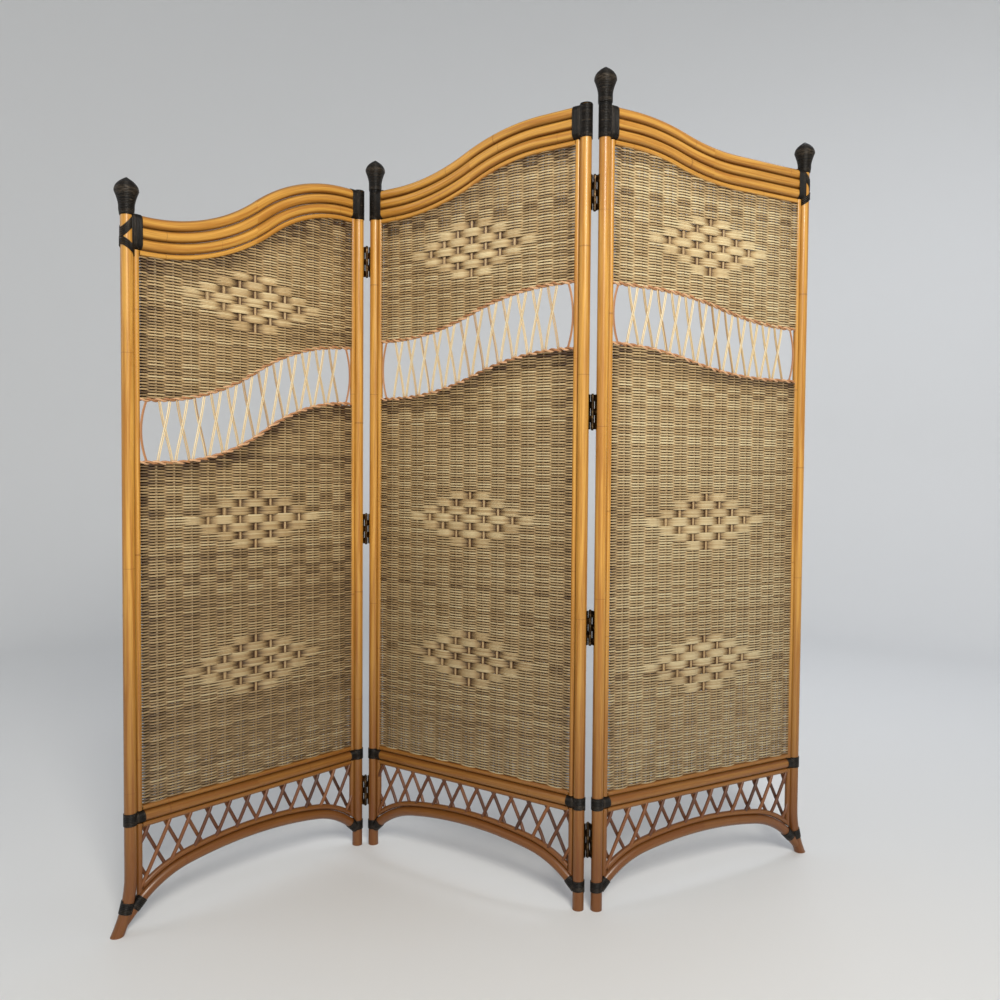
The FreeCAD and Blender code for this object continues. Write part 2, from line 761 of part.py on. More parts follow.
def panel_pieces(panel):
    """Every piece of a panel, by node name, in the panel's own frame."""
    no_row = ([], front)
    left_row = (left_hinges, front)
    right_row = (right_hinges, back)
    rows = {"left": (no_row, left_row), "middle": (left_row, right_row), "right": (right_row, no_row)}
    left_seats, right_seats = rows[panel.name]
    pieces = {
        "left_post": [seated_post(panel, False, *left_seats)],
        "right_post": [seated_post(panel, True, *right_seats)],
    }
    for index, rail_name in enumerate(rail_names):
        pieces["top_rail_" + rail_name] = [top_rail(panel, index)]
    pieces["weave_frame"] = weave_frame(panel)
    pieces["upper_weave"] = [upper_weave(panel)]
    pieces["openwork_band"] = openwork_band(panel)
    pieces["lower_weave"] = [lower_weave(panel)]
    pieces["mid_rail"] = [mid_rail(panel)]
    pieces["lattice_frame"] = lattice_frame()
    pieces["lattice_rods"] = lattice_rods()
    pieces["arch_rail"] = [arch_rail(panel)]
    pieces["top_bindings"] = [top_binding(panel, False), top_binding(panel, True)]
    pieces["mid_bindings"] = [mid_binding(False), mid_binding(True)]
    pieces["foot_bindings"] = foot_binding(panel, False) + foot_binding(panel, True)
    if panel.finial_left:
        neck = outer_finial_neck_height if panel.flare_left else finial_neck_height
        pieces["left_finial"] = [finial(0.0, post_top(panel, False), neck)]
    if panel.finial_right:
        neck = outer_finial_neck_height if panel.flare_right else finial_neck_height
        pieces["right_finial"] = [finial(panel_width, post_top(panel, True), neck)]
    return {panel.name + "_panel_" + name: solids for name, solids in pieces.items()}


def hinge_pieces():
    """Leaves and pins of both rows of hinges, each in the frame of the panel that carries it."""
    left = {"left_hinge_outer_leaves": [hinge_leaf(panel_width, 1.0, front, z, 0) for z in left_hinges]}
    middle = {
        "left_hinge_inner_leaves": [hinge_leaf(0.0, -1.0, front, z, 1) for z in left_hinges],
        "left_hinge_pins": [hinge_pin(0.0, -1.0, front, z) for z in left_hinges],
        "right_hinge_inner_leaves": [hinge_leaf(panel_width, 1.0, back, z, 1) for z in right_hinges],
        "right_hinge_pins": [hinge_pin(panel_width, 1.0, back, z) for z in right_hinges],
    }
    right = {"right_hinge_outer_leaves": [hinge_leaf(0.0, -1.0, back, z, 0) for z in right_hinges]}
    return left, middle, right


# The folded screen, stood with its origin under the middle of its box

left_pin = V(-pin_offset, -pin_offset, 0)
right_pin = V(panel_width + pin_offset, pin_offset, 0)


def left_placement():
    """Place of the left panel: beside the middle one, then turned about the left pins."""
    beside = FreeCAD.Placement(V(-panel_width - 2 * pin_offset, 0, 0), FreeCAD.Rotation())
    turn = FreeCAD.Placement(V(0, 0, 0), FreeCAD.Rotation(V(0, 0, 1), left_fold_angle), left_pin)
    return turn.multiply(beside)


def right_placement():
    """Place of the right panel: beside the middle one, then turned about the right pins."""
    beside = FreeCAD.Placement(V(panel_width + 2 * pin_offset, 0, 0), FreeCAD.Rotation())
    turn = FreeCAD.Placement(V(0, 0, 0), FreeCAD.Rotation(V(0, 0, 1), right_fold_angle), right_pin)
    return turn.multiply(beside)


def assemble():
    """All pieces of the screen by node name, with the origin under the middle of the screen's box."""
    left_hinge, middle_hinge, right_hinge = hinge_pieces()
    groups = [
        (left_placement(), {**panel_pieces(left_panel), **left_hinge}),
        (FreeCAD.Placement(), {**panel_pieces(middle_panel), **middle_hinge}),
        (right_placement(), {**panel_pieces(right_panel), **right_hinge}),
    ]
    placed = {}
    for placement, pieces in groups:
        for name, solids in pieces.items():
            placed[name] = Part.makeCompound(solids)
            placed[name].Placement = placement
    outer = [shape for name, shape in placed.items() if name.endswith(("post", "finial", "bindings"))]
    box = Part.makeCompound(outer).optimalBoundingBox(False)
    shift = V(-box.Center.x, -box.Center.y, 0)
    for shape in placed.values():
        shape.translate(shift)
    return placed, shift


def main():
    """Write each node's solids to its own file."""
    os.makedirs("parts", exist_ok=True)
    placed, shift = assemble()
    for name, shape in placed.items():
        shape.exportStep(os.path.join("parts", name + ".step"))
    print("pieces", len(placed), "origin shift", round(shift.x, 4), round(shift.y, 4))


if __name__ == "__main__":
    main()
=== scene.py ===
"""Looks of a three-panel rattan folding screen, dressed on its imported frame."""

import json
import logging
import math
from dataclasses import dataclass
from enum import Enum

import bpy
import numpy as np
from mathutils import Matrix, Vector


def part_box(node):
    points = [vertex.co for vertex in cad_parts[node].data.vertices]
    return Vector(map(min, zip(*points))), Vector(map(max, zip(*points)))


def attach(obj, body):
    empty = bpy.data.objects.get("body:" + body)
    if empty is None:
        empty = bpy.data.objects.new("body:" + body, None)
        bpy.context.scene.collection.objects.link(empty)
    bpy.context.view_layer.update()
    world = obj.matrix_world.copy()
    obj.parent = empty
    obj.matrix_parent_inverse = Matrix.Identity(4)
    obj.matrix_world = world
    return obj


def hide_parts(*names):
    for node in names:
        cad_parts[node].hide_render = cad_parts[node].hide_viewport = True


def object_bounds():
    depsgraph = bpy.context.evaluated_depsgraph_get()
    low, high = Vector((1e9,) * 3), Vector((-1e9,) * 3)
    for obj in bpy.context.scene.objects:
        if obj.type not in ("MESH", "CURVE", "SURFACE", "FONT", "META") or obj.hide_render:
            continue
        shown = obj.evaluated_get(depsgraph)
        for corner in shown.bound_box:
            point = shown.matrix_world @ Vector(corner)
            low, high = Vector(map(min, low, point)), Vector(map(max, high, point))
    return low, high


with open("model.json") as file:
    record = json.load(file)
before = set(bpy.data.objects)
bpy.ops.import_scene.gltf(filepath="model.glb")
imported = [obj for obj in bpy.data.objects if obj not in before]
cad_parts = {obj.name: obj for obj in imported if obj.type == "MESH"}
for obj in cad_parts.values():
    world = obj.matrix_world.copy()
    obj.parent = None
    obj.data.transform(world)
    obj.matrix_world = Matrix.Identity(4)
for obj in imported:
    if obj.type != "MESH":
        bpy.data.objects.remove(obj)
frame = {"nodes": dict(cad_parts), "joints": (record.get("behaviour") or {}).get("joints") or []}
CAD_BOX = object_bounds()

logging.basicConfig(level=logging.INFO, format="%(name)s: %(message)s")
log = logging.getLogger("screen")

# Sizes are in millimetres in a panel's own frame: X from the left post's axis to the right one,
# Y to the back, Z up. Meshes are written in metres in the shared frame.
MM = 0.001
ALONG, BACK, UP = np.eye(3)
SEED = 11

# Poles and gaps that several sub-assemblies share
POST_RADIUS = 12.5
RAIL_RADIUS = 11.5
RAIL_COUNT = 3
TRIM_RADIUS = 6.25
SEAT_GAP = 0.3
STILE_X = POST_RADIUS + SEAT_GAP + TRIM_RADIUS
FIELD_X = STILE_X + TRIM_RADIUS + SEAT_GAP
RAIL_STEP = 2 * RAIL_RADIUS + SEAT_GAP
RAIL_STACK = 2 * RAIL_RADIUS * RAIL_COUNT + SEAT_GAP * (RAIL_COUNT - 1)
HEAD_OFFSET = RAIL_STACK + SEAT_GAP + TRIM_RADIUS
MID_RAIL_Z = 236.0
TRIM_STEP = RAIL_RADIUS + SEAT_GAP + TRIM_RADIUS
SILL_Z = MID_RAIL_Z + TRIM_STEP
LATTICE_HEAD_Z = MID_RAIL_Z - TRIM_STEP


class Slot(Enum):
    """Material slots of the record, one for each kind of built piece."""

    WEAVE = "woven_rattan"
    STAKE = "openwork_stake"
    LATTICE = "lattice_rod"
    PEEL = "wound_peel"
    HINGE = "bronzed_hinge"


class Side(Enum):
    """The two sides of a panel, with the sign of the outward direction along X."""

    LEFT = -1
    RIGHT = 1


class Field(Enum):
    """The two woven fields of a panel."""

    UPPER = "upper_weave"
    LOWER = "lower_weave"


class Shed(Enum):
    """The two sets of rows that pass a stake on opposite sides."""

    EVEN = 0
    ODD = 1


def linear(hex_colour: str) -> tuple[float, float, float, float]:
    """Turn an sRGB hex colour to linear red, green, blue and a full alpha.

    Args:
        hex_colour: A hash and six hex digits.

    Returns:
        The linear colour.
    """
    parts = [int(hex_colour[start:start + 2], 16) / 255 for start in (1, 3, 5)]
    red, green, blue = [part / 12.92 if part <= 0.04045 else ((part + 0.055) / 1.055) ** 2.4 for part in parts]
    return red, green, blue, 1.0


def show(name: str, data: bpy.types.ID) -> bpy.types.Object:
    """Add an object to the scene.

    Args:
        name: Name of the object.
        data: Its mesh, light or camera.

    Returns:
        The new object.
    """
    shown = bpy.data.objects.new(name, data)
    bpy.context.scene.collection.objects.link(shown)
    return shown


class Shader:
    """Node tree of one material, ended by a principled surface."""

    def __init__(self, name: str, **surface: object) -> None:
        """Start a material.

        Args:
            name: Name of the material.
            surface: Values of the surface's sockets that are the same all over, with _ for a space.
        """
        self.material = bpy.data.materials.new(name)
        self.material.use_nodes = True
        self.tree = self.material.node_tree
        self.tree.nodes.clear()
        self.surface = self.add("BsdfPrincipled", {key.replace("_", " "): value for key, value in surface.items()})
        self.add("OutputMaterial", {"Surface": self.surface})

    def add(self, kind: str, inputs: dict[str | int, object] | None = None, **settings: object) -> bpy.types.Node:
        """Add a node with its settings and links.

        Numbered sockets of a MapRange are the value, the range that is read and the range that it becomes, and
        those of a mix are the share and the two things mixed.

        Args:
            kind: Blender's name of the node's type, after its common start.
            inputs: For each socket, by name or number, a value, an output, or a node whose first output feeds it.
            settings: Properties of the node.

        Returns:
            The new node.
        """
        new = self.tree.nodes.new("ShaderNode" + kind)
        for key, value in settings.items():
            setattr(new, key, value)
        for key, value in (inputs or {}).items():
            source = value.outputs[0] if isinstance(value, bpy.types.Node) else value
            if isinstance(source, bpy.types.NodeSocket):
                self.tree.links.new(source, new.inputs[key])
            else:
                new.inputs[key].default_value = source
        return new

    def paint(self, **sockets: bpy.types.Node) -> None:
        """Feed sockets of the surface from nodes, with _ for a space."""
        for name, node in sockets.items():
            self.tree.links.new(node.outputs[0], self.surface.inputs[name.replace("_", " ")])


class StrandMesh:
    """Lofted strands gathered into one mesh.

    Each point keeps its course, which is its place on the straightened strand in millimetres (along it and
    two offsets across it), and its strand's tone from 0 to 1.
    """

    def __init__(self) -> None:
        """Start with no strands."""
        self.points: list[np.ndarray] = []
        self.faces: list[list[int]] = []
        self.courses: list[np.ndarray] = []
        self.tones: list[np.ndarray] = []
        self.count = 0

    def loft(self, rings: np.ndarray, course: np.ndarray, tone: object, closed: bool = False) -> None:
        """Add a skin through rings of points, with its ends closed.

        Args:
            rings: Points of each ring, counted anticlockwise as seen from the strand's end.
            course: Course of each point.
            tone: One tone, one in each row for each ring, or one for each point.
            closed: Whether the last ring joins the first, as in a hoop.
        """
        count, sides = rings.shape[:2]
        ring = np.arange(count if closed else count - 1)[:, None]
        side = np.arange(sides)[None, :]
        after = (ring + 1) % count
        beside = (side + 1) % sides
        corners = [ring * sides + side, ring * sides + beside, after * sides + beside, after * sides + side]
        quads = np.stack([np.broadcast_to(corner, (len(ring), sides)) for corner in corners], axis=-1)
        self.faces.extend((quads.reshape(-1, 4) + self.count).tolist())
        if not closed:
            first = np.arange(sides) + self.count
            self.faces.append(first[::-1].tolist())
            self.faces.append((first + (count - 1) * sides).tolist())
        self.points.append(rings.reshape(-1, 3))
        self.courses.append(course.reshape(-1, 3))
        self.tones.append(np.broadcast_to(np.asarray(tone, float), (count, sides)).ravel())
        self.count += count * sides

    def sweep(self, path: np.ndarray, up: np.ndarray, section: np.ndarray, tone: object, closed: bool = False) -> None:
        """Add a strand along a path.

        Args:
            path: Points of the strand's middle line.
            up: Direction, or one for each point, that the section's second axis leans to.
            section: Offsets across and up of the section's points, for all rings or for each ring.
            tone: One tone, one in each row for each point of the path, or one for each point of each section.
            closed: Whether the strand is a hoop.
        """
        if closed:
            tangent = np.roll(path, -1, axis=0) - np.roll(path, 1, axis=0)
        else:
            tangent = np.gradient(path, axis=0)
        tangent /= np.linalg.norm(tangent, axis=1, keepdims=True)
        up = np.broadcast_to(up, path.shape)
        rise = up - tangent * np.sum(up * tangent, axis=1, keepdims=True)
        rise /= np.linalg.norm(rise, axis=1, keepdims=True)
        across = np.cross(rise, tangent)
        section = np.broadcast_to(section, (len(path), *section.shape[-2:]))
        rings = path[:, None] + section[..., :1] * across[:, None] + section[..., 1:] * rise[:, None]
        steps = np.linalg.norm(np.diff(path, axis=0), axis=1)
        along = np.concatenate([[0.0], np.cumsum(steps)])
        course = np.concatenate([np.broadcast_to(along[:, None, None], (*section.shape[:2], 1)), section], axis=2)
        self.loft(rings, course, tone, closed)

    def build(self, name: str, panel: "Panel", material: bpy.types.Material, slot: Slot) -> bpy.types.Object:
        """Write the strands to an object that rides on a panel's body.

        Args:
            name: Name of the piece after the panel's own.
            panel: The panel that carries it.
            material: Its finish.
            slot: Material slot that the finish belongs to; not used.

        Returns:
            The new object.
        """
        name = f"{panel.name}_{name}"
        mesh = bpy.data.meshes.new(name)
        mesh.from_pydata(panel.place(np.concatenate(self.points)).tolist(), [], self.faces)
        mesh.shade_smooth()
        course = mesh.attributes.new("course", "FLOAT_VECTOR", "POINT")
        course.data.foreach_set("vector", np.concatenate(self.courses).ravel())
        tone = mesh.attributes.new("tone", "FLOAT", "POINT")
        tone.data.foreach_set("value", np.concatenate(self.tones))
        mesh.materials.append(material)
        piece = show(name, mesh)
        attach(piece, panel.name)
        log.info("%s: %d faces", name, len(self.faces))
        return piece


def oval(width: float, height: float, sides: int, squareness: float = 1.0) -> np.ndarray:
    """Points of an oval section.

    Args:
        width: Size across.
        height: Size up.
        sides: Number of points.
        squareness: 1 for an ellipse, and less for flatter faces.

    Returns:
        Offsets across and up, one row for each point.
    """
    turn = np.linspace(0.0, 2 * math.pi, sides, endpoint=False)
    wave = np.stack([np.cos(turn), np.sin(turn)], axis=1)
    wave = np.sign(wave) * np.abs(wave) ** squareness
    return wave * (width / 2, height / 2)


@dataclass(frozen=True)
class Ogee:
    """Curve along a panel: two level runs joined by two equal arcs."""

    left: float
    right: float
    run_left: float
    run_right: float

    def hung(self, drop_left: float, drop_right: float, run_left: float, run_right: float) -> "Ogee":
        """Curve that hangs below this one by its own drop at each post."""
        return Ogee(self.left - drop_left, self.right - drop_right, run_left, run_right)

    def height(self, x: np.ndarray, width: float, offset: float = 0.0) -> np.ndarray:
        """Height of the line that lies below the curve, square to it.

        Args:
            x: Distances along the panel.
            width: Distance between the panel's posts.
            offset: How far below the curve the line lies.

        Returns:
            The line's heights.
        """
        rise = self.right - self.left
        sense = math.copysign(1.0, rise)
        span = width - self.run_right - self.run_left
        radius = (span ** 2 + rise ** 2) / (4 * abs(rise))
        first = radius + sense * offset
        second = radius - sense * offset
        joint = self.run_left + span * first / (2 * radius)
        from_first = np.clip(x - self.run_left, 0.0, first)
        from_second = np.clip(width - self.run_right - x, 0.0, second)
        low = self.left + sense * (radius - np.sqrt(first ** 2 - from_first ** 2))
        high = self.right - sense * (radius - np.sqrt(second ** 2 - from_second ** 2))
        return np.where(x < joint, low, high)


@dataclass(frozen=True)
class Panel:
    """One panel: its body, its curves, its place in the shared frame, what its sides carry and the light painted into
    its weave.
    """

    name: str
    crest: Ogee
    upper_border: Ogee
    lower_border: Ogee
    origin: Vector
    turn: float
    width: float
    splayed: tuple[Side, ...]
    finials: tuple[Side, ...]
    painted_lighting: float

    def place(self, points: np.ndarray) -> np.ndarray:
        """Points of the panel's frame, in metres in the shared frame."""
        turned = np.array(Matrix.Rotation(self.turn, 3, "Z"))
        return points @ turned.T * MM + np.array(self.origin)

    def post_x(self, side: Side) -> float:
        """Place of a post's axis along the panel."""
        return self.width if side is Side.RIGHT else 0.0

    def crest_z(self, side: Side) -> float:
        """Height of the crest at a post."""
        return self.crest.right if side is Side.RIGHT else self.crest.left


def make_panels() -> tuple[Panel, Panel, Panel]:
    """Place the three panels by their posts and by the folds of the frame.

    Returns:
        The left, middle and right panels.
    """
    folds = {joint["name"]: math.radians(-joint["range_deg"][0]) for joint in frame["joints"]}

    def post_axis(node: str) -> Vector:
        """Foot of a straight post's axis."""
        low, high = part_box(node)
        return Vector(((low.x + high.x) / 2, (low.y + high.y) / 2, 0.0))

    middle_foot = post_axis("middle_panel_left_post")
    reach = (post_axis("middle_panel_right_post") - middle_foot).length
    left_along = Vector((math.cos(folds["left_fold"]), math.sin(folds["left_fold"]), 0.0))
    left_foot = post_axis("left_panel_right_post") - left_along * reach
    right_foot = post_axis("right_panel_left_post")
    width = reach / MM
    # A curve has its heights at the left and right posts and its level runs beside them. A border hangs below the
    # crest by a drop at each post and has runs of its own.
    # The last figure of each panel is the light painted into its weave, darker on the left and lighter on the right
    crest = Ogee(1480.0, 1658.0, 42.0, 42.0)
    left = Panel("left_panel", crest, crest.hung(375.0, 394.0, 37.0, 30.0), crest.hung(505.5, 532.0, 82.0, 30.0),
                 left_foot, folds["left_fold"], width, splayed=(Side.LEFT,), finials=(Side.LEFT,), painted_lighting=-0.07)
    crest = Ogee(1658.0, 1746.0, 70.0, 107.0)
    middle = Panel("middle_panel", crest, crest.hung(375.0, 371.5, 60.5, 64.0), crest.hung(519.0, 516.0, 68.0, 49.0),
                   middle_foot, 0.0, width, splayed=(), finials=(Side.LEFT,), painted_lighting=0.03)
    crest = Ogee(1746.0, 1704.0, 70.0, 230.0)
    right = Panel("right_panel", crest, crest.hung(374.5, 389.0, 111.0, 34.0), crest.hung(504.5, 517.0, 30.0, 121.0),
                  right_foot, folds["right_fold"], width, splayed=(Side.RIGHT,), finials=(Side.LEFT, Side.RIGHT),
                  painted_lighting=0.11)
    return left, middle, right


@dataclass(frozen=True)
class VarnishedPole:
    """Rattan pole, scraped, steam-bent, stained and varnished.

    The varnish gives long clear highlights. Under it fine fibres run with the pole, the cane drifts from honey
    to amber, painted shade darkens the sides where poles lie side by side, and the lower part turns russet.
    """

    honey: str = "#D59F47"
    amber: str = "#B07529"
    fibre: str = "#86541A"
    russet: str = "#5F3010"
    # Painted shade: colour of the sides where poles lie side by side
    groove_shade: str = "#5E3410"
    ring: str = "#6A3410"
    node_spacing: float = 430.0
    node_sway: float = 0.8
    ring_width: float = 1.4
    ring_strength: float = 0.4
    fibre_length: float = 90.0
    fibre_width: float = 1.8  # real fibres are about 0.3 mm; drawn coarser so that they show
    fibre_strength: float = 0.5
    drift_length: float = 260.0
    drift_width: float = 7.0
    russet_from: float = 800.0
    russet_below: float = 90.0
    russet_strength: float = 0.9
    # Strength of that painted shade on level poles and on upright ones
    rail_groove_shade: float = 0.7
    post_groove_shade: float = 0.2
    pole_shift: float = 3000.0
    side_shift: float = 137.0

    def material(self, panel: Panel) -> bpy.types.Material:
        """Make the finish of one panel's poles.

        Args:
            panel: The panel, whose frame the pattern follows.

        Returns:
            The material.
        """
        shader = Shader(f"varnished_rattan_pole_{panel.name}", IOR=1.45, Coat_Weight=0.18, Coat_Roughness=0.14)
        coords = shader.add("TexCoord")
        moved = shader.add("VectorMath", {0: coords.outputs["Object"], 1: panel.origin}, operation="SUBTRACT")
        turned = [shader.add("VectorRotate", {"Vector": vector, "Angle": -panel.turn}, rotation_type="Z_AXIS")
                  for vector in (moved, coords.outputs["Normal"])]
        place, normal = [shader.add("SeparateXYZ", {0: vector}).outputs for vector in turned]
        # Everything outside the field's edges stands upright, and the rest runs along the panel
        half = panel.width / 2 * MM
        aside = shader.add("Math", {0: place["X"], 1: half}, operation="SUBTRACT")
        aside = shader.add("Math", {0: aside}, operation="ABSOLUTE")
        upright = shader.add("Math", {0: aside, 1: half - FIELD_X * MM}, operation="GREATER_THAN")
        along = shader.add("Mix", {0: upright, 2: place["X"], 3: place["Z"]})
        facing = shader.add("Mix", {0: upright, 2: normal["Z"], 3: normal["X"]})
        # No two poles show the same stretch of cane
        chance = shader.add("ObjectInfo").outputs["Random"]
        own = shader.add("Math", {0: chance, 1: self.pole_shift * MM}, operation="MULTIPLY")
        right = shader.add("Math", {0: place["X"], 1: half}, operation="GREATER_THAN")
        start = shader.add("Math", {0: right, 1: self.side_shift * MM, 2: own}, operation="MULTIPLY_ADD")
        along = shader.add("Math", {0: along, 1: start}, operation="ADD")
        across = [shader.add("Math", {0: side, 1: POST_RADIUS * MM}, operation="MULTIPLY")
                  for side in (facing, normal["Y"])]
        course = shader.add("CombineXYZ", {0: along, 1: across[0], 2: across[1]})
        grains = []
        for length, width in ((self.fibre_length, self.fibre_width), (self.drift_length, self.drift_width)):
            scale = (1 / (length * MM), 1 / (width * MM), 1 / (width * MM))
            stretched = shader.add("VectorMath", {0: course, 1: scale}, operation="MULTIPLY")
            grains.append(shader.add("TexNoise", {"Vector": stretched, "Scale": 1.0, "Detail": 3.0, "Roughness": 0.6}))
        fibres, drift = grains
        # Leaf nodes, unevenly spaced
        sway = shader.add("TexNoise", {"W": along, "Scale": 3.0, "Detail": 0.0}, noise_dimensions="1D")
        spaced = shader.add("Math", {0: along, 1: self.node_spacing * MM}, operation="DIVIDE")
        phase = shader.add("Math", {0: sway, 1: self.node_sway, 2: spaced}, operation="MULTIPLY_ADD")
        phase = shader.add("Math", {0: phase}, operation="FRACT")
        away = shader.add("Math", {0: phase, 1: 0.5}, operation="SUBTRACT")
        away = shader.add("Math", {0: away}, operation="ABSOLUTE")
        away = shader.add("Math", {0: away, 1: self.node_spacing * MM}, operation="MULTIPLY")
        ring_edge = self.ring_width * MM
        ring = shader.add("MapRange", {0: away, 1: 0.4 * ring_edge, 2: ring_edge, 3: self.ring_strength, 4: 0.0})
        honeyed = shader.add("MapRange", {0: drift, 1: 0.34, 2: 0.66}, interpolation_type="SMOOTHSTEP")
        colour = shader.add("MixRGB", {0: honeyed, 1: linear(self.honey), 2: linear(self.amber)})
        streak = shader.add("MapRange", {0: fibres, 1: 0.5, 2: 0.8, 3: 0.0, 4: self.fibre_strength})
        colour = shader.add("MixRGB", {0: streak, 1: colour, 2: linear(self.fibre)})
        # Darker and redder towards the foot
        low = shader.add("MapRange", {0: place["Z"], 1: self.russet_from * MM, 2: self.russet_below * MM,
                                      3: 0.0, 4: self.russet_strength})
        colour = shader.add("MixRGB", {0: low, 1: colour, 2: linear(self.russet)})
        # Painted shade: faces that look towards a neighbouring pole are darkened, top and bottom of level poles,
        # flanks of upright ones
        sideways = shader.add("Math", {0: facing}, operation="ABSOLUTE")
        depth = shader.add("MapRange", {0: upright, 3: self.rail_groove_shade, 4: self.post_groove_shade})
        groove_darkness = shader.add("MapRange", {0: sideways, 1: 0.4, 2: 0.95, 3: 0.0, 4: depth},
                           interpolation_type="SMOOTHSTEP")
        colour = shader.add("MixRGB", {0: groove_darkness, 1: colour, 2: linear(self.groove_shade)})
        colour = shader.add("MixRGB", {0: ring, 1: colour, 2: linear(self.ring)})
        roughness = shader.add("MapRange", {0: fibres, 1: 0.3, 2: 0.8, 3: 0.34, 4: 0.5})
        height = shader.add("Math", {0: fibres, 1: 0.3, 2: ring}, operation="MULTIPLY_ADD")
        relief = shader.add("Bump", {"Strength": 0.5, "Distance": 0.5 * MM, "Height": height})
        shader.paint(Base_Color=colour, Roughness=roughness, Normal=relief)
        return shader.material


@dataclass(frozen=True)
class CaneStrand:
    """Round rattan core, drawn from the heart of the cane, woven or bent damp and left nearly matt.

    Fibres run along each strand, strands differ in tone from pale to shade, painted shade darkens the
    grooves between them, and the part near the floor is darker.
    """

    name: str
    pale: str
    base: str
    shade: str
    darkening: str
    darker_below: float = 0.0
    darkest_below: float = 200.0
    low_darkening: float = 0.0
    groove_shade: float = 0.0
    half_height: float = 1.0
    roughness: float = 0.5
    coat: float = 0.12
    fibre_length: float = 30.0
    fibre_width: float = 0.9  # real fibres are about 0.2 mm; drawn coarser so that they show
    patch_size: float = 130.0
    patch_strength: float = 0.3
    fibre_strength: float = 0.5

    def material(self) -> bpy.types.Material:
        """Make the finish, once for all pieces that have it."""
        made = bpy.data.materials.get(self.name)
        return made or self.mix()

    def mix(self) -> bpy.types.Material:
        """Mix the finish from the strands' courses and tones.

        Returns:
            The material.
        """
        shader = Shader(self.name, IOR=1.48, Coat_Weight=self.coat, Coat_Roughness=0.25)
        course = shader.add("Attribute", attribute_name="course").outputs["Vector"]
        tone = shader.add("Attribute", attribute_name="tone").outputs["Fac"]
        place = shader.add("TexCoord").outputs["Object"]
        scale = (1 / self.fibre_length, 1 / self.fibre_width, 1 / self.fibre_width)
        stretched = shader.add("VectorMath", {0: course, 1: scale}, operation="MULTIPLY")
        fibres = shader.add("TexNoise", {"Vector": stretched, "Scale": 1.0, "Detail": 3.0, "Roughness": 0.6})
        patches = shader.add("TexNoise", {"Vector": place, "Scale": 1 / (self.patch_size * MM), "Detail": 2.0})
        light = shader.add("Math", {0: patches, 1: self.patch_strength, 2: tone}, operation="MULTIPLY_ADD")
        below = shader.add("MapRange", {0: light, 1: 0.15, 2: 0.65})
        above = shader.add("MapRange", {0: light, 1: 0.65, 2: 1.15})
        colour = shader.add("MixRGB", {0: below, 1: linear(self.shade), 2: linear(self.base)})
        colour = shader.add("MixRGB", {0: above, 1: colour, 2: linear(self.pale)})
        streak = shader.add("MapRange", {0: fibres, 1: 0.5, 2: 0.85, 3: 0.0, 4: self.fibre_strength})
        colour = shader.add("MixRGB", {0: streak, 1: colour, 2: linear(self.shade)})
        # Painted shade: the edges of each strand, in the grooves between strands, are darkened
        rise = shader.add("Math", {0: shader.add("SeparateXYZ", {0: course}).outputs["Z"]}, operation="ABSOLUTE")
        edge = shader.add("MapRange", {0: rise, 1: 0.4 * self.half_height, 2: self.half_height,
                                       3: 0.0, 4: self.groove_shade})
        # Darker towards the floor, from a given height down
        height = shader.add("SeparateXYZ", {0: place}).outputs["Z"]
        low = shader.add("MapRange", {0: height, 1: self.darker_below * MM, 2: self.darkest_below * MM,
                                      3: 0.0, 4: self.low_darkening})
        for darkened in (edge, low):
            colour = shader.add("MixRGB", {0: darkened, 1: colour, 2: linear(self.darkening)})
        roughness = shader.add("MapRange", {0: fibres, 1: 0.2, 2: 0.9,
                                            3: self.roughness - 0.08, 4: self.roughness + 0.12})
        relief = shader.add("Bump", {"Strength": 0.35, "Distance": 0.25 * MM, "Height": fibres})
        shader.paint(Base_Color=colour, Roughness=roughness, Normal=relief)
        return shader.material


# Groove shade is painted shade at the edges of each strand and stake; these finishes also darken towards the floor
WEAVERS = CaneStrand("woven_rattan_core", pale="#E6D2A4", base="#BA9C6E", shade="#46301C", darkening="#302014",
                     darker_below=1250.0, low_darkening=0.46, groove_shade=0.5, half_height=2.5)
STAKES = CaneStrand("bent_rattan_stake", pale="#F0DCB2", base="#DDBB86", shade="#62401F", darkening="#3E2814",
                    darker_below=1000.0, low_darkening=0.3, groove_shade=0.7, half_height=1.1, coat=0.2)
ARMS = CaneStrand("split_rattan_stake", pale="#FAECC8", base="#EBD2A0", shade="#A67B48", darkening="#7A5430", groove_shade=0.45,
                  half_height=1.35, coat=0.2)
BORDERS = CaneStrand("twisted_rattan_border", pale="#E0B58C", base="#C08A5C", shade="#7A4424", darkening="#7A4424",
                     coat=0.25)
RODS = CaneStrand("stained_rattan_rod", pale="#875225", base="#5C3216", shade="#3C1E0E", darkening="#3C1E0E", coat=0.15,
                  roughness=0.42, fibre_width=1.2, patch_size=40.0)


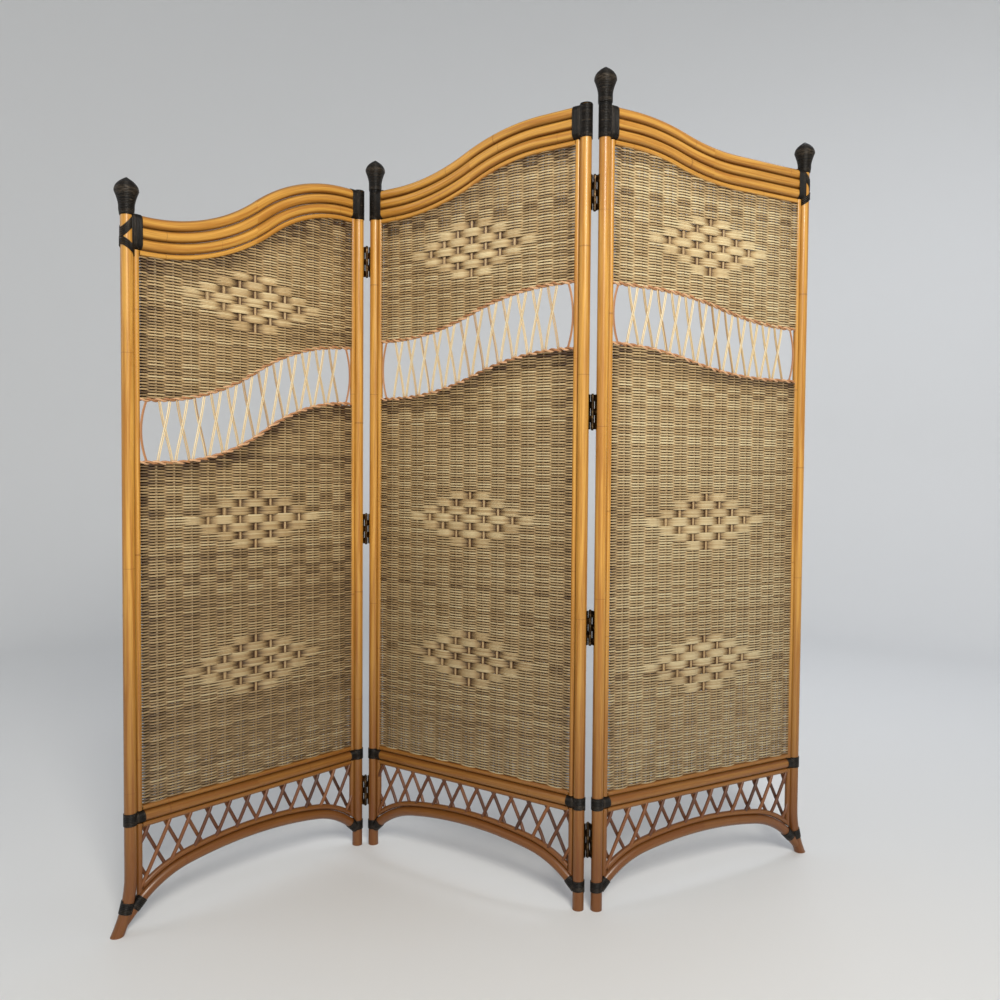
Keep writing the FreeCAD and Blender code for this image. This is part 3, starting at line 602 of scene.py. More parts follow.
@dataclass(frozen=True)
class DyedPeel:
    """Rattan peel dyed near black and wound tight: each turn has its own slight gloss and worn brown edges."""

    black: str = "#0A0705"
    brown: str = "#211A12"
    worn: str = "#62574A"
    fibre_length: float = 14.0
    fibre_width: float = 0.6  # real fibres are about 0.2 mm; drawn coarser so that they show
    wear_length: float = 9.0
    wear_width: float = 3.0

    def material(self) -> bpy.types.Material:
        """Make the finish, once for all windings."""
        made = bpy.data.materials.get("dyed_rattan_peel")
        return made or self.mix()

    def mix(self) -> bpy.types.Material:
        """Mix the finish from the strips' courses and tones.

        Returns:
            The material.
        """
        shader = Shader("dyed_rattan_peel", IOR=1.5, Specular_IOR_Level=0.25)
        course = shader.add("Attribute", attribute_name="course").outputs["Vector"]
        tone = shader.add("Attribute", attribute_name="tone").outputs["Fac"]
        grains = []
        for length, width in ((self.fibre_length, self.fibre_width), (self.wear_length, self.wear_width)):
            scale = (1 / length, 1 / width, 1 / width)
            stretched = shader.add("VectorMath", {0: course, 1: scale}, operation="MULTIPLY")
            grains.append(shader.add("TexNoise", {"Vector": stretched, "Scale": 1.0, "Detail": 3.0, "Roughness": 0.6}))
        fibres, wear = grains
        light = shader.add("Math", {0: fibres, 1: 0.6, 2: tone}, operation="MULTIPLY_ADD")
        dyed = shader.add("MapRange", {0: light, 1: 0.5, 2: 1.2})
        colour = shader.add("MixRGB", {0: dyed, 1: linear(self.black), 2: linear(self.brown)})
        handled = shader.add("Math", {0: tone, 1: 0.3, 2: wear}, operation="MULTIPLY_ADD")
        rubbed = shader.add("MapRange", {0: handled, 1: 0.72, 2: 1.05, 3: 0.0, 4: 0.7})
        colour = shader.add("MixRGB", {0: rubbed, 1: colour, 2: linear(self.worn)})
        roughness = shader.add("MapRange", {0: fibres, 1: 0.2, 2: 0.9, 3: 0.36, 4: 0.55})
        relief = shader.add("Bump", {"Strength": 0.3, "Distance": 0.2 * MM, "Height": fibres})
        shader.paint(Base_Color=colour, Roughness=roughness, Normal=relief)
        return shader.material


@dataclass(frozen=True)
class BronzedSteel:
    """Pressed steel, bronzed in a bath: a dark brown metal with blotches, rubbed brighter in places."""

    dark: str = "#3A2D20"
    rubbed: str = "#7C6445"
    blotch: float = 9.0
    grit: float = 0.6

    def material(self) -> bpy.types.Material:
        """Make the finish.

        Returns:
            The material.
        """
        shader = Shader("bronzed_steel", Metallic=1.0)
        place = shader.add("TexCoord").outputs["Object"]
        blotches, grit = [shader.add("TexNoise", {"Vector": place, "Scale": 1 / (size * MM), "Detail": 3.0})
                          for size in (self.blotch, self.grit)]
        worn = shader.add("MapRange", {0: blotches, 1: 0.45, 2: 0.75}, interpolation_type="SMOOTHSTEP")
        colour = shader.add("MixRGB", {0: worn, 1: linear(self.dark), 2: linear(self.rubbed)})
        roughness = shader.add("MapRange", {0: blotches, 1: 0.2, 2: 0.8, 3: 0.5, 4: 0.34})
        relief = shader.add("Bump", {"Strength": 0.15, "Distance": 0.1 * MM, "Height": grit})
        shader.paint(Base_Color=colour, Roughness=roughness, Normal=relief)
        return shader.material


@dataclass(frozen=True)
class Weave:
    """Plain weave of thin round core over bars of four stakes, with stepped diamonds of rows bundled in sixes."""

    row_pitch: float = 3.06
    strand_height: float = 5.0
    strand_depth: float = 2.6
    stake_diameter: float = 2.2
    stake_spacing: float = 2.6
    bar_depth: float = 3.2
    stakes_per_bar: int = 4
    stake_pitch: float = 40.5
    stake_count: int = 13
    span_steps: tuple[float, ...] = (0.0, 0.14, 0.36, 0.64, 0.86)
    change_over: tuple[float, float] = (0.17, 0.83)
    strand_sides: int = 6
    stake_sides: int = 8
    strip_rows: int = 6
    strip_count: int = 7
    loose_end: float = 0.35
    upper_diamond_drop: float = 227.0
    lower_diamonds: tuple[float, ...] = (520.0, 850.0)
    sway: float = 0.2
    sway_pitches: float = 4.3
    row_tone: float = 0.58
    row_spread: float = 0.13
    # Wear and painted light: faces that stand out from the weave are lighter by this much
    rubbed: float = 0.16
    # Painted shade on the faces that lie against a stake and on the edges that part there
    shade_from: float = 0.4
    bundle_shade: float = 0.8
    single_shade: float = 0.4
    parting_shade: float = 0.28
    # Painted shade under the head pole and beside the stiles, fading over this reach
    shade_reach: float = 55.0
    head_shade: float = 0.42
    stile_shade: float = 0.2
    tone_limits: tuple[float, float] = (-0.15, 1.1)
    pinch: float = 0.36
    pinch_reach: float = 5.6
    stake_points: int = 12
    stake_tone: float = 0.55
    stake_spread: float = 0.12
    # Painted shade on the outer rods of each bar
    outer_stake_shade: float = 0.5

    def stakes(self, panel: Panel) -> np.ndarray:
        """Places of the bars of stakes along a panel."""
        return panel.width / 2 + (np.arange(self.stake_count) - (self.stake_count - 1) / 2) * self.stake_pitch

    def limits(self, panel: Panel, part: Field, x: np.ndarray) -> tuple[np.ndarray, np.ndarray]:
        """Middle lines of what holds a field below and above.

        Args:
            panel: The panel.
            part: Which of its fields.
            x: Distances along the panel.

        Returns:
            Heights of the lower and the upper line.
        """
        if part is Field.UPPER:
            return panel.upper_border.height(x, panel.width), panel.crest.height(x, panel.width, HEAD_OFFSET)
        return np.full_like(x, SILL_Z), panel.lower_border.height(x, panel.width)

    def diamonds(self, panel: Panel, part: Field) -> tuple[float, ...]:
        """Heights of the middles of a field's diamonds."""
        if part is Field.LOWER:
            return self.lower_diamonds
        return (float(panel.crest.height(np.array([panel.width / 2]), panel.width)[0]) - self.upper_diamond_drop,)

    def strip_of(self, row: int, middle_row: int) -> tuple[int, int] | None:
        """Strip of a diamond that a row belongs to.

        Args:
            row: Number of the row.
            middle_row: Number of the diamond's middle row.

        Returns:
            The strip's number and its reach in stakes to each side, or None outside the diamond.
        """
        strip = (row - middle_row + self.strip_rows * self.strip_count // 2) // self.strip_rows
        if not 0 <= strip < self.strip_count:
            return None
        return strip, min(strip, self.strip_count - 1 - strip) + 1

    def row_sides(self, row: int, middles: list[int]) -> tuple[np.ndarray, np.ndarray]:
        """Which side of each stake a row passes, and where it lies in a bundle.

        Args:
            row: Number of the row.
            middles: Numbers of the diamonds' middle rows.

        Returns:
            For each stake -1 for its front and 1 for its back, and how far the row is bundled, from 0 to 1.
        """
        stake = np.arange(self.stake_count)
        sides = np.where((stake + row) % 2 == 0, -1.0, 1.0)
        bundled = np.zeros(self.stake_count)
        offset = stake - self.stake_count // 2
        for middle in middles:
            found = self.strip_of(row, middle)
            if found:
                inside = np.abs(offset) <= found[1]
                sides = np.where(inside, np.where((offset + found[0]) % 2 == 0, 1.0, -1.0), sides)
                bundled = np.where(inside, np.where(np.abs(offset) == found[1], self.loose_end, 1.0), bundled)
        return sides, bundled

    def wear(self, section: np.ndarray, depth: np.ndarray, together: np.ndarray) -> np.ndarray:
        """What wear, painted light and painted shade add to the tone of a row.

        Strands are rubbed pale and painted lighter where they stand out over a stake, and painted shade darkens the
        side that lies against it and the edges that part there.

        Args:
            section: Section of a strand.
            depth: Where each point of the row lies, from -1 in front of the stakes to 1 behind them.
            together: How far the row is bundled there, from 0 to 1.

        Returns:
            Tones to add, for each point of each section.
        """
        outward = depth[:, None] * section[:, 0] * 2 / self.strand_depth
        parted = np.abs(depth[:, None] * section[:, 1] * 2 / self.strand_height)
        shaded_face = np.clip(-outward - self.shade_from, 0.0, 1.0)
        apart = 1 - together[:, None]
        painted_shade = (self.bundle_shade + self.single_shade * apart) * shaded_face + self.parting_shade * apart * parted
        # Outward faces are lighter by wear and painted light, less the painted shade
        return self.rubbed * outward - painted_shade

    def weavers(self, panel: Panel, part: Field) -> dict[Shed, StrandMesh]:
        """Weave the rows of a field.

        Args:
            panel: The panel.
            part: Which of its fields.

        Returns:
            The rows of each shed.
        """
        draw = np.random.default_rng(SEED + len(panel.name) + len(part.value))
        sheds = {shed: StrandMesh() for shed in Shed}
        amplitude = (self.bar_depth + self.strand_depth) / 2
        knots = np.concatenate([[FIELD_X], self.stakes(panel), [panel.width - FIELD_X]])
        grid = (knots[:-1, None] + np.diff(knots)[:, None] * np.array(self.span_steps)).ravel()
        x = np.linspace(STILE_X, panel.width - STILE_X, int(panel.width))
        low, high = self.limits(panel, part, x)
        base = low.min()
        middles = [round((height - base) / self.row_pitch) for height in self.diamonds(panel, part)]
        section = oval(self.strand_depth, self.strand_height, self.strand_sides)
        for row in range(1, int((high.max() - base) / self.row_pitch)):
            z = base + row * self.row_pitch
            held = x[(z > low) & (z < high)]
            shade, phase = draw.normal(0.0, self.row_spread), draw.uniform(0.0, 2 * math.pi)
            if len(held) < self.stake_pitch / 2:
                continue
            inner = grid[(grid > held[0] + 1) & (grid < held[-1] - 1)]
            places = np.concatenate([held[:1], inner, held[-1:]])
            sides, bundled = self.row_sides(row, middles)
            span = np.clip(np.searchsorted(knots, places, side="right") - 1, 0, len(knots) - 2)
            part_way = (places - knots[span]) / (knots[span + 1] - knots[span])
            begin, stop = self.change_over
            ease = (1 - np.cos(math.pi * np.clip((part_way - begin) / (stop - begin), 0.0, 1.0))) / 2
            reach = np.concatenate([-sides[:1], sides, -sides[-1:]])
            depth = reach[span] + (reach[span + 1] - reach[span]) * ease
            gathered = np.pad(bundled, 1)
            together = gathered[span] + (gathered[span + 1] - gathered[span]) * ease
            level = z + self.sway * np.sin(2 * math.pi * places / (self.sway_pitches * self.stake_pitch) + phase)
            path = np.stack([places, depth * amplitude, level], axis=1)
            # Painted shade darkens rows under the head pole and beside the stiles
            below_head = np.interp(places, x, high) - z
            off_stile = np.minimum(places, panel.width - places) - FIELD_X
            pole_shade = np.interp(below_head, (0.0, self.shade_reach), (self.head_shade, 0.0))
            pole_shade += np.interp(off_stile, (0.0, self.shade_reach), (self.stile_shade, 0.0))
            # The tone takes in the panel's painted light, the wear and painted shade of each strand, and the painted
            # shade under the poles
            tone = self.row_tone + panel.painted_lighting + shade + self.wear(section, depth, together) - pole_shade[:, None]
            # A single strand is drawn thin where it bends over a stake
            to_stake = np.abs(places[:, None] - knots).min(axis=1)
            pinch = 1 - self.pinch * np.clip(1 - to_stake / self.pinch_reach, 0.0, 1.0) * (1 - together)
            thinned = section * np.stack([np.ones_like(pinch), pinch], axis=1)[:, None]
            sheds[Shed(row % 2)].sweep(path, UP, thinned, np.clip(tone, *self.tone_limits))
        return sheds

    def bars(self, panel: Panel, part: Field) -> StrandMesh:
        """Stand the bars of stakes of a field.

        Args:
            panel: The panel.
            part: Which of its fields.

        Returns:
            The stakes.
        """
        draw = np.random.default_rng(SEED)
        mesh = StrandMesh()
        section = oval(self.stake_diameter, self.stake_diameter, self.stake_sides)
        low, high = self.limits(panel, part, self.stakes(panel))
        for x, bottom, top in zip(self.stakes(panel), low, high):
            for stake in range(self.stakes_per_bar):
                z = np.linspace(bottom, top, self.stake_points)
                apart = (stake - (self.stakes_per_bar - 1) / 2) * self.stake_spacing
                path = np.stack([np.full_like(z, x + apart), np.zeros_like(z), z], axis=1)
                # Painted shade darkens the outer rods of a bar
                tone = draw.normal(self.stake_tone, self.stake_spread)
                if stake in (0, self.stakes_per_bar - 1):
                    tone -= self.outer_stake_shade
                mesh.sweep(path, ALONG, section, tone)
        return mesh

    def build(self, panel: Panel) -> None:
        """Make both fields of a panel and put them in place of their plain sheets."""
        for part in Field:
            for shed, rows in self.weavers(panel, part).items():
                name = f"{part.value}_{shed.name.lower()}_rows"
                piece = rows.build(name, panel, WEAVERS.material(), Slot.WEAVE)
                if shed is Shed.EVEN:
                    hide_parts(f"{panel.name}_{part.value}")
            self.bars(panel, part).build(f"{part.value}_stakes", panel, STAKES.material(), Slot.STAKE)


@dataclass(frozen=True)
class OpenworkBand:
    """Band between the fields: two twisted borders, pairs of stakes that part and cross, and bowed edge rods."""

    weave: Weave
    strand_diameter: float = 5.0
    strand_sides: int = 9
    strand_tones: tuple[float, float] = (0.8, 0.35)
    step: float = 2.4
    top_spread: float = 8.0
    foot_spread: float = 3.5
    arm_diameter: float = 2.7
    arm_points: int = 13
    arm_apart: float = 0.7
    arm_stand: float = 0.55
    arm_tone: float = 0.5
    arm_spread: float = 0.15
    back_shade: float = 0.15
    bow: float = 0.3
    edge_reach: float = 14.0
    edge_diameter: float = 2.6
    edge_apart: float = 1.1
    edge_points: int = 21
    edge_tones: tuple[float, float] = (0.5, 0.3)

    def borders(self, panel: Panel) -> StrandMesh:
        """Twist both borders.

        Args:
            panel: The panel.

        Returns:
            Their strands.
        """
        mesh = StrandMesh()
        section = oval(self.strand_diameter, self.strand_diameter, self.strand_sides)
        x = np.arange(STILE_X, panel.width - STILE_X, self.step)
        for border in (panel.upper_border, panel.lower_border):
            line = np.stack([x, np.zeros_like(x), border.height(x, panel.width)], axis=1)
            tangent = np.gradient(line, axis=0)
            tangent /= np.linalg.norm(tangent, axis=1, keepdims=True)
            normal = np.cross(tangent, BACK)
            for strand, tone in zip((0.0, math.pi), self.strand_tones):
                turn = 2 * math.pi * x / self.weave.stake_pitch + strand
                out = -normal * np.cos(turn)[:, None] + BACK * np.sin(turn)[:, None]
                mesh.sweep(line + out * self.strand_diameter / 2, out, section, tone)
        return mesh

    def stakes(self, panel: Panel) -> StrandMesh:
        """Part each bar of stakes in two pairs and cross them between the borders.

        Args:
            panel: The panel.

        Returns:
            The stakes.
        """
        draw = np.random.default_rng(SEED)
        mesh = StrandMesh()
        diameter = self.arm_diameter
        section = oval(diameter, diameter, self.weave.stake_sides)
        places = self.weave.stakes(panel)
        down = np.linspace(0.0, 1.0, self.arm_points)
        ease = (1 - self.bow) * down + self.bow * (3 * down ** 2 - 2 * down ** 3)
        for left, right in zip(places, places[1:]):
            arms = ((left + self.top_spread, right - self.foot_spread, 1),
                    (right - self.top_spread, left + self.foot_spread, -1))
            for top_x, foot_x, layer in arms:
                top = panel.upper_border.height(np.array(top_x), panel.width)
                foot = panel.lower_border.height(np.array(foot_x), panel.width)
                for apart in (-self.arm_apart, self.arm_apart):
                    x = top_x + (foot_x - top_x) * ease + apart * diameter
                    y = layer * self.arm_stand * diameter * np.sin(math.pi * down)
                    path = np.stack([x, y, top + (foot - top) * down], axis=1)
                    tone = draw.normal(self.arm_tone, self.arm_spread) - self.back_shade * layer
                    mesh.sweep(path, ALONG, section, tone)
        return mesh

    def edge_rods(self, panel: Panel) -> StrandMesh:
        """Bow a pair of thin rods from border to border against each stile.

        Args:
            panel: The panel.

        Returns:
            The rods.
        """
        mesh = StrandMesh()
        section = oval(self.edge_diameter, self.edge_diameter, self.weave.stake_sides)
        down = np.linspace(0.0, 1.0, self.edge_points)
        bowed = 1 - (2 * down - 1) ** 2
        for side in Side:
            edge = panel.post_x(side) - side.value * FIELD_X
            for rod, tone in enumerate(self.edge_tones):
                reach = self.edge_reach + self.edge_apart * rod * self.edge_diameter
                near = (0.5 + rod) * self.edge_diameter
                x = edge - side.value * (reach - (reach - near) * bowed)
                top, foot = [border.height(x[:1], panel.width) for border in (panel.upper_border, panel.lower_border)]
                path = np.stack([x, np.zeros_like(x), top + (foot - top) * down], axis=1)
                mesh.sweep(path, BACK, section, tone)
        return mesh

    def build(self, panel: Panel) -> None:
        """Make a panel's band and put it in place of its plain solids."""
        borders = self.borders(panel).build("band_borders", panel, BORDERS.material(), Slot.STAKE)
        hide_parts(f"{panel.name}_openwork_band")
        self.stakes(panel).build("band_stakes", panel, ARMS.material(), Slot.STAKE)
        self.edge_rods(panel).build("band_edge_rods", panel, BORDERS.material(), Slot.STAKE)


@dataclass(frozen=True)
class Lattice:
    """Two layers of slanting rods between the head pole and the pole bent over the arch."""

    rod_diameter: float = 8.0
    rod_sides: int = 12
    rod_points: int = 14
    rod_tone: float = 0.5
    rod_spread: float = 0.2
    run_step: float = 0.5
    pitch: float = 49.3
    rise: float = 47.0
    cross_drop: float = 8.0
    shortest: float = 30.0
    seated: float = 1.6
    bend: float = 22.0
    arch_height: float = 117.0
    crown_radius: float = 1000.0
    haunch_radius: float = 214.0
    spring_angle: float = 45.0
    arch_inset: float = 18.5

    def above_arch(self, panel: Panel, x: np.ndarray, z: np.ndarray) -> np.ndarray:
        """Distance of points above the middle line of the pole over the arch.

        Args:
            panel: The panel.
            x: Places along the panel.
            z: Heights.

        Returns:
            The distances.
        """
        reach = self.crown_radius - self.haunch_radius
        half_span = panel.width / 2 - self.arch_inset
        lean = math.asin((half_span - self.haunch_radius * math.sin(math.radians(self.spring_angle))) / reach)
        aside = np.abs(x - panel.width / 2)
        up = z - self.arch_height + self.crown_radius
        crown = np.hypot(aside, up) - self.crown_radius
        haunch = np.hypot(aside - reach * math.sin(lean), up - reach * math.cos(lean)) - self.haunch_radius
        offset = 2 * RAIL_RADIUS + SEAT_GAP + TRIM_RADIUS
        return np.where(np.arctan2(aside, up) > lean, haunch, crown) - offset

    def rods(self, panel: Panel) -> StrandMesh:
        """Lay the rods, with their ends bent into the poles that hold them.

        Args:
            panel: The panel.

        Returns:
            The rods.
        """
        draw = np.random.default_rng(SEED)
        mesh = StrandMesh()
        section = oval(self.rod_diameter, self.rod_diameter, self.rod_sides)
        cross_z = LATTICE_HEAD_Z - TRIM_RADIUS - self.cross_drop
        run = np.arange(-MID_RAIL_Z, MID_RAIL_Z, self.run_step)
        crossings = int(panel.width / self.pitch)
        for layer, sense in ((-1, 1.0), (1, -1.0)):
            along = np.array([sense * self.pitch / 2, self.rise]) / math.hypot(self.pitch / 2, self.rise)
            for index in range(-crossings, crossings):
                x = panel.width / 2 + (index + 0.5) * self.pitch + along[0] * run
                z = cross_z + along[1] * run
                inside = (z < LATTICE_HEAD_Z) & (x > STILE_X) & (x < panel.width - STILE_X)
                free = np.flatnonzero(inside & (self.above_arch(panel, x, z) > 0))
                if len(free) * self.run_step < self.shortest:
                    continue
                kept = np.linspace(free[0], free[-1], self.rod_points).astype(int)
                from_end = np.minimum(run[kept] - run[kept[0]], run[kept[-1]] - run[kept])
                stand = self.seated + (self.rod_diameter / 2 - self.seated) * np.clip(from_end / self.bend, 0.0, 1.0)
                path = np.stack([x[kept], layer * stand, z[kept]], axis=1)
                tone = np.clip(draw.normal(self.rod_tone, self.rod_spread), 0.0, 1.0)
                mesh.sweep(path, BACK, section, tone)
        return mesh

    def build(self, panel: Panel) -> None:
        """Make a panel's lattice and put it in place of its plain rods."""
        piece = self.rods(panel).build("lattice", panel, RODS.material(), Slot.LATTICE)
        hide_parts(f"{panel.name}_lattice_rods")


@dataclass(frozen=True)
class Peel:
    """Flat strip of rattan peel, wound in close turns."""

    width: float = 3.3
    thickness: float = 1.5
    overlap: float = 1.02
    squareness: float = 0.65
    steps_per_turn: int = 26
    sides: int = 8
    turn_spread: float = 0.22

    def section(self) -> np.ndarray:
        """Section of the strip, crowned with soft edges."""
        return oval(self.width * self.overlap, self.thickness, self.sides, self.squareness)

    def unevenness(self, turn: np.ndarray) -> np.ndarray:
        """Tone by which each whole turn of a strip differs from the next."""
        whole = (turn / (2 * math.pi)).astype(int)
        return np.random.default_rng(SEED).normal(0.0, self.turn_spread, whole[-1] + 1)[whole]

    def coil(self, mesh: StrandMesh, foot: np.ndarray, axis: np.ndarray, profile: np.ndarray) -> None:
        """Wind one strip over a turned form.

        Args:
            mesh: Mesh that takes the strip.
            foot: Point of the form's axis that the profile is measured from.
            axis: Direction of that axis, in the panel's plane.
            profile: Distances along the axis and radii of the form's outline, and the strip's tone there.
        """
        aside = np.cross(BACK, axis)
        lengths = np.concatenate([[0.0], np.cumsum(np.linalg.norm(np.diff(profile[:, :2], axis=0), axis=1))])
        run = np.linspace(0.0, lengths[-1], int(lengths[-1] / self.width * self.steps_per_turn) + 1)
        along, radius, tone = [np.interp(run, lengths, column) for column in profile.T]
        turn = 2 * math.pi * run / self.width
        radial = np.cos(turn)[:, None] * aside + np.sin(turn)[:, None] * BACK
        out = radial * np.gradient(along, run)[:, None] - axis * np.gradient(radius, run)[:, None]
        path = foot + axis * along[:, None] + radial * radius[:, None] + out * self.thickness / 2
        mesh.sweep(path, out, self.section(), (tone + self.unevenness(turn))[:, None])

    def wrap(self, mesh: StrandMesh, start: np.ndarray, axis: np.ndarray, radius: float, half_height: float,
             length: float, tone: float) -> None:
        """Wind one strip round a rail, or round a flat stack of rails.

        Args:
            mesh: Mesh that takes the strip.
            start: Middle of the rails where the winding begins.
            axis: Direction of the rails, in the panel's plane.
            radius: Radius of a rail.
            half_height: Half the distance between the outer rails' axes.
            length: Length of the winding along the rails.
            tone: Tone of the strip.
        """
        upward = np.cross(axis, BACK)
        turns = length / self.width
        turn = (np.arange(int(turns * self.steps_per_turn)) + 0.5) * 2 * math.pi / self.steps_per_turn
        out = np.cos(turn)[:, None] * BACK + np.sin(turn)[:, None] * upward
        apart = half_height * np.sign(np.sin(turn))[:, None] * upward
        advance = axis * (turn * self.width / (2 * math.pi))[:, None]
        path = start + advance + apart + out * (radius + self.thickness / 2)
        mesh.sweep(path, out, self.section(), (tone + self.unevenness(turn))[:, None])

    def hoop(self, mesh: StrandMesh, x: float, radius: float, outer_z: float, inner_z: float, inward: int,
             tone: float) -> None:
        """Lay one strip aslant round a post.

        Args:
            mesh: Mesh that takes the strip.
            x: Place of the post along the panel.
            radius: Radius of the post.
            outer_z: Height of the strip on the post's outer side.
            inner_z: Height on its inner side.
            inward: Sign of the direction from the post into the panel.
            tone: Tone of the strip.
        """
        turn = np.linspace(0.0, 2 * math.pi, 2 * self.steps_per_turn, endpoint=False)
        out = np.stack([np.cos(turn), np.sin(turn), np.zeros_like(turn)], axis=1)
        share = (1 + inward * np.cos(turn)) / 2
        path = out * (radius + self.thickness / 2) + x * ALONG
        path[:, 2] = outer_z + (inner_z - outer_z) * share
        mesh.sweep(path, out, self.section(), tone, closed=True)


@dataclass(frozen=True)
class Bindings:
    """Windings that tie the rails to the posts at the crest, at the mid rail and at the arch's ends."""

    peel: Peel
    clearance: float = 0.2
    tone: float = 0.4
    cover: float = 13.3
    rail_start: float = 5.5
    rail_length: float = 23.0
    # Leaves room beside the next post's winding when the panels stand in line
    finial_core: float = 13.1
    upper_strap: tuple[int, float, float] = (5, -6.0, 25.0)
    lower_strap: tuple[int, float, float] = (4, -22.0, -43.0)
    strap_spacing: float = 4.4
    strap_lift: float = 0.5
    strap_tone: float = 0.35
    strap_tone_step: float = 0.1
    cap_rise: float = 2.6
    cap_angles: tuple[float, ...] = (0.1, 0.35, 0.7, 1.05, 1.4)
    cap_tip: float = 0.6
    post_tip: float = 2.1
    foot_low: float = 41.0
    foot_high: float = 65.0
    splay_height: float = 120.0
    splay_reach: float = 30.0
    arch_angle: float = 43.0
    arch_start: float = 5.5
    arch_rise: float = 46.4
    arch_length: float = 25.5

    def post_core(self) -> float:
        """Radius under the strips wound on a post."""
        return POST_RADIUS + self.clearance

    def sleeve(self, low: float, high: float) -> np.ndarray:
        """Outline and tone of a straight winding on a post, from one height to another."""
        return np.array([(height, self.post_core(), self.tone) for height in (low, high)])

    def splay(self, panel: Panel, side: Side, z: float) -> float:
        """How far outward a splayed post's axis lies at a height."""
        if side not in panel.splayed:
            return 0.0
        radius = (self.splay_height ** 2 + self.splay_reach ** 2) / (2 * self.splay_reach)
        return radius - math.sqrt(radius ** 2 - max(0.0, self.splay_height - z) ** 2)

    def crest(self, panel: Panel) -> StrandMesh:
        """Wind the ties at the ends of the crest rails.

        Args:
            panel: The panel.

        Returns:
            The strips.
        """
        mesh = StrandMesh()
        for side in Side:
            inward = -side.value
            x = panel.post_x(side)
            crest = panel.crest_z(side)
            middle = crest - RAIL_STACK / 2
            low = crest - RAIL_STACK - self.cover + RAIL_RADIUS
            start = np.array([x + inward * self.rail_start, 0.0, middle])
            self.peel.wrap(mesh, start, inward * ALONG, RAIL_RADIUS + self.clearance,
                           (RAIL_COUNT - 1) / 2 * RAIL_STEP, self.rail_length, self.tone)
            if side in panel.splayed:
                self.straps(mesh, x, middle, inward)
                continue
            core = self.finial_core if side in panel.finials else self.post_core()
            profile = [(low, core, self.tone), (crest, core, self.tone)]
            if side not in panel.finials:
                rim = [(crest + self.cap_rise * math.sin(a), core * math.cos(a), self.tone)
                       for a in self.cap_angles]
                profile += [*rim, (crest + self.cap_rise, self.cap_tip, self.tone)]
            else:
                profile.append((crest + self.post_tip, core, self.tone))
            self.peel.coil(mesh, x * ALONG, UP, np.array(profile))
        return mesh

    def straps(self, mesh: StrandMesh, x: float, middle: float, inward: int) -> None:
        """Cross two straps on a post, from the rails' top and bottom to its outer side.

        Args:
            mesh: Mesh that takes the strips.
            x: Place of the post along the panel.
            middle: Height of the middle of the crest rails.
            inward: Sign of the direction from the post into the panel.
        """
        for layer, (strips, outer, inner) in enumerate((self.upper_strap, self.lower_strap)):
            core = self.post_core() + layer * self.peel.thickness * self.strap_lift
            for strip in range(strips):
                place = middle + (strip - (strips - 1) / 2) * self.strap_spacing
                tone = self.strap_tone + self.strap_tone_step * strip
                self.peel.hoop(mesh, x, core, place + outer, place + inner, inward, tone)

    def mid(self, panel: Panel) -> StrandMesh:
        """Wind the ties at the mid rail's ends.

        Args:
            panel: The panel.

        Returns:
            The strips.
        """
        mesh = StrandMesh()
        for side in Side:
            inward = -side.value
            x = panel.post_x(side)
            sleeve = self.sleeve(MID_RAIL_Z - self.cover, MID_RAIL_Z + self.cover)
            self.peel.coil(mesh, x * ALONG, UP, sleeve)
            start = np.array([x + inward * self.rail_start, 0.0, MID_RAIL_Z])
            self.peel.wrap(mesh, start, inward * ALONG, RAIL_RADIUS + self.clearance, 0.0, self.rail_length, self.tone)
        return mesh

    def foot(self, panel: Panel) -> StrandMesh:
        """Wind the ties at the arch's ends.

        Args:
            panel: The panel.

        Returns:
            The strips.
        """
        mesh = StrandMesh()
        for side in Side:
            inward = -side.value
            x = panel.post_x(side)
            foot = np.array([x + side.value * self.splay(panel, side, self.foot_low), 0.0, self.foot_low])
            head = np.array([x + side.value * self.splay(panel, side, self.foot_high), 0.0, self.foot_high])
            rise = np.linalg.norm(head - foot)
            self.peel.coil(mesh, foot, (head - foot) / rise, self.sleeve(0.0, rise))
            lean = math.radians(self.arch_angle)
            along = np.array([inward * math.cos(lean), 0.0, math.sin(lean)])
            start = np.array([x + inward * self.arch_start, 0.0, self.arch_rise])
            self.peel.wrap(mesh, start, along, RAIL_RADIUS + self.clearance, 0.0, self.arch_length, self.tone)
        return mesh

    def build(self, panel: Panel) -> None:
        """Make a panel's windings and put them in place of its plain wraps."""
        for name, made in (("top", self.crest(panel)), ("mid", self.mid(panel)), ("foot", self.foot(panel))):
            piece = made.build(f"{name}_windings", panel, DyedPeel().material(), Slot.PEEL)
            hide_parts(f"{panel.name}_{name}_bindings")


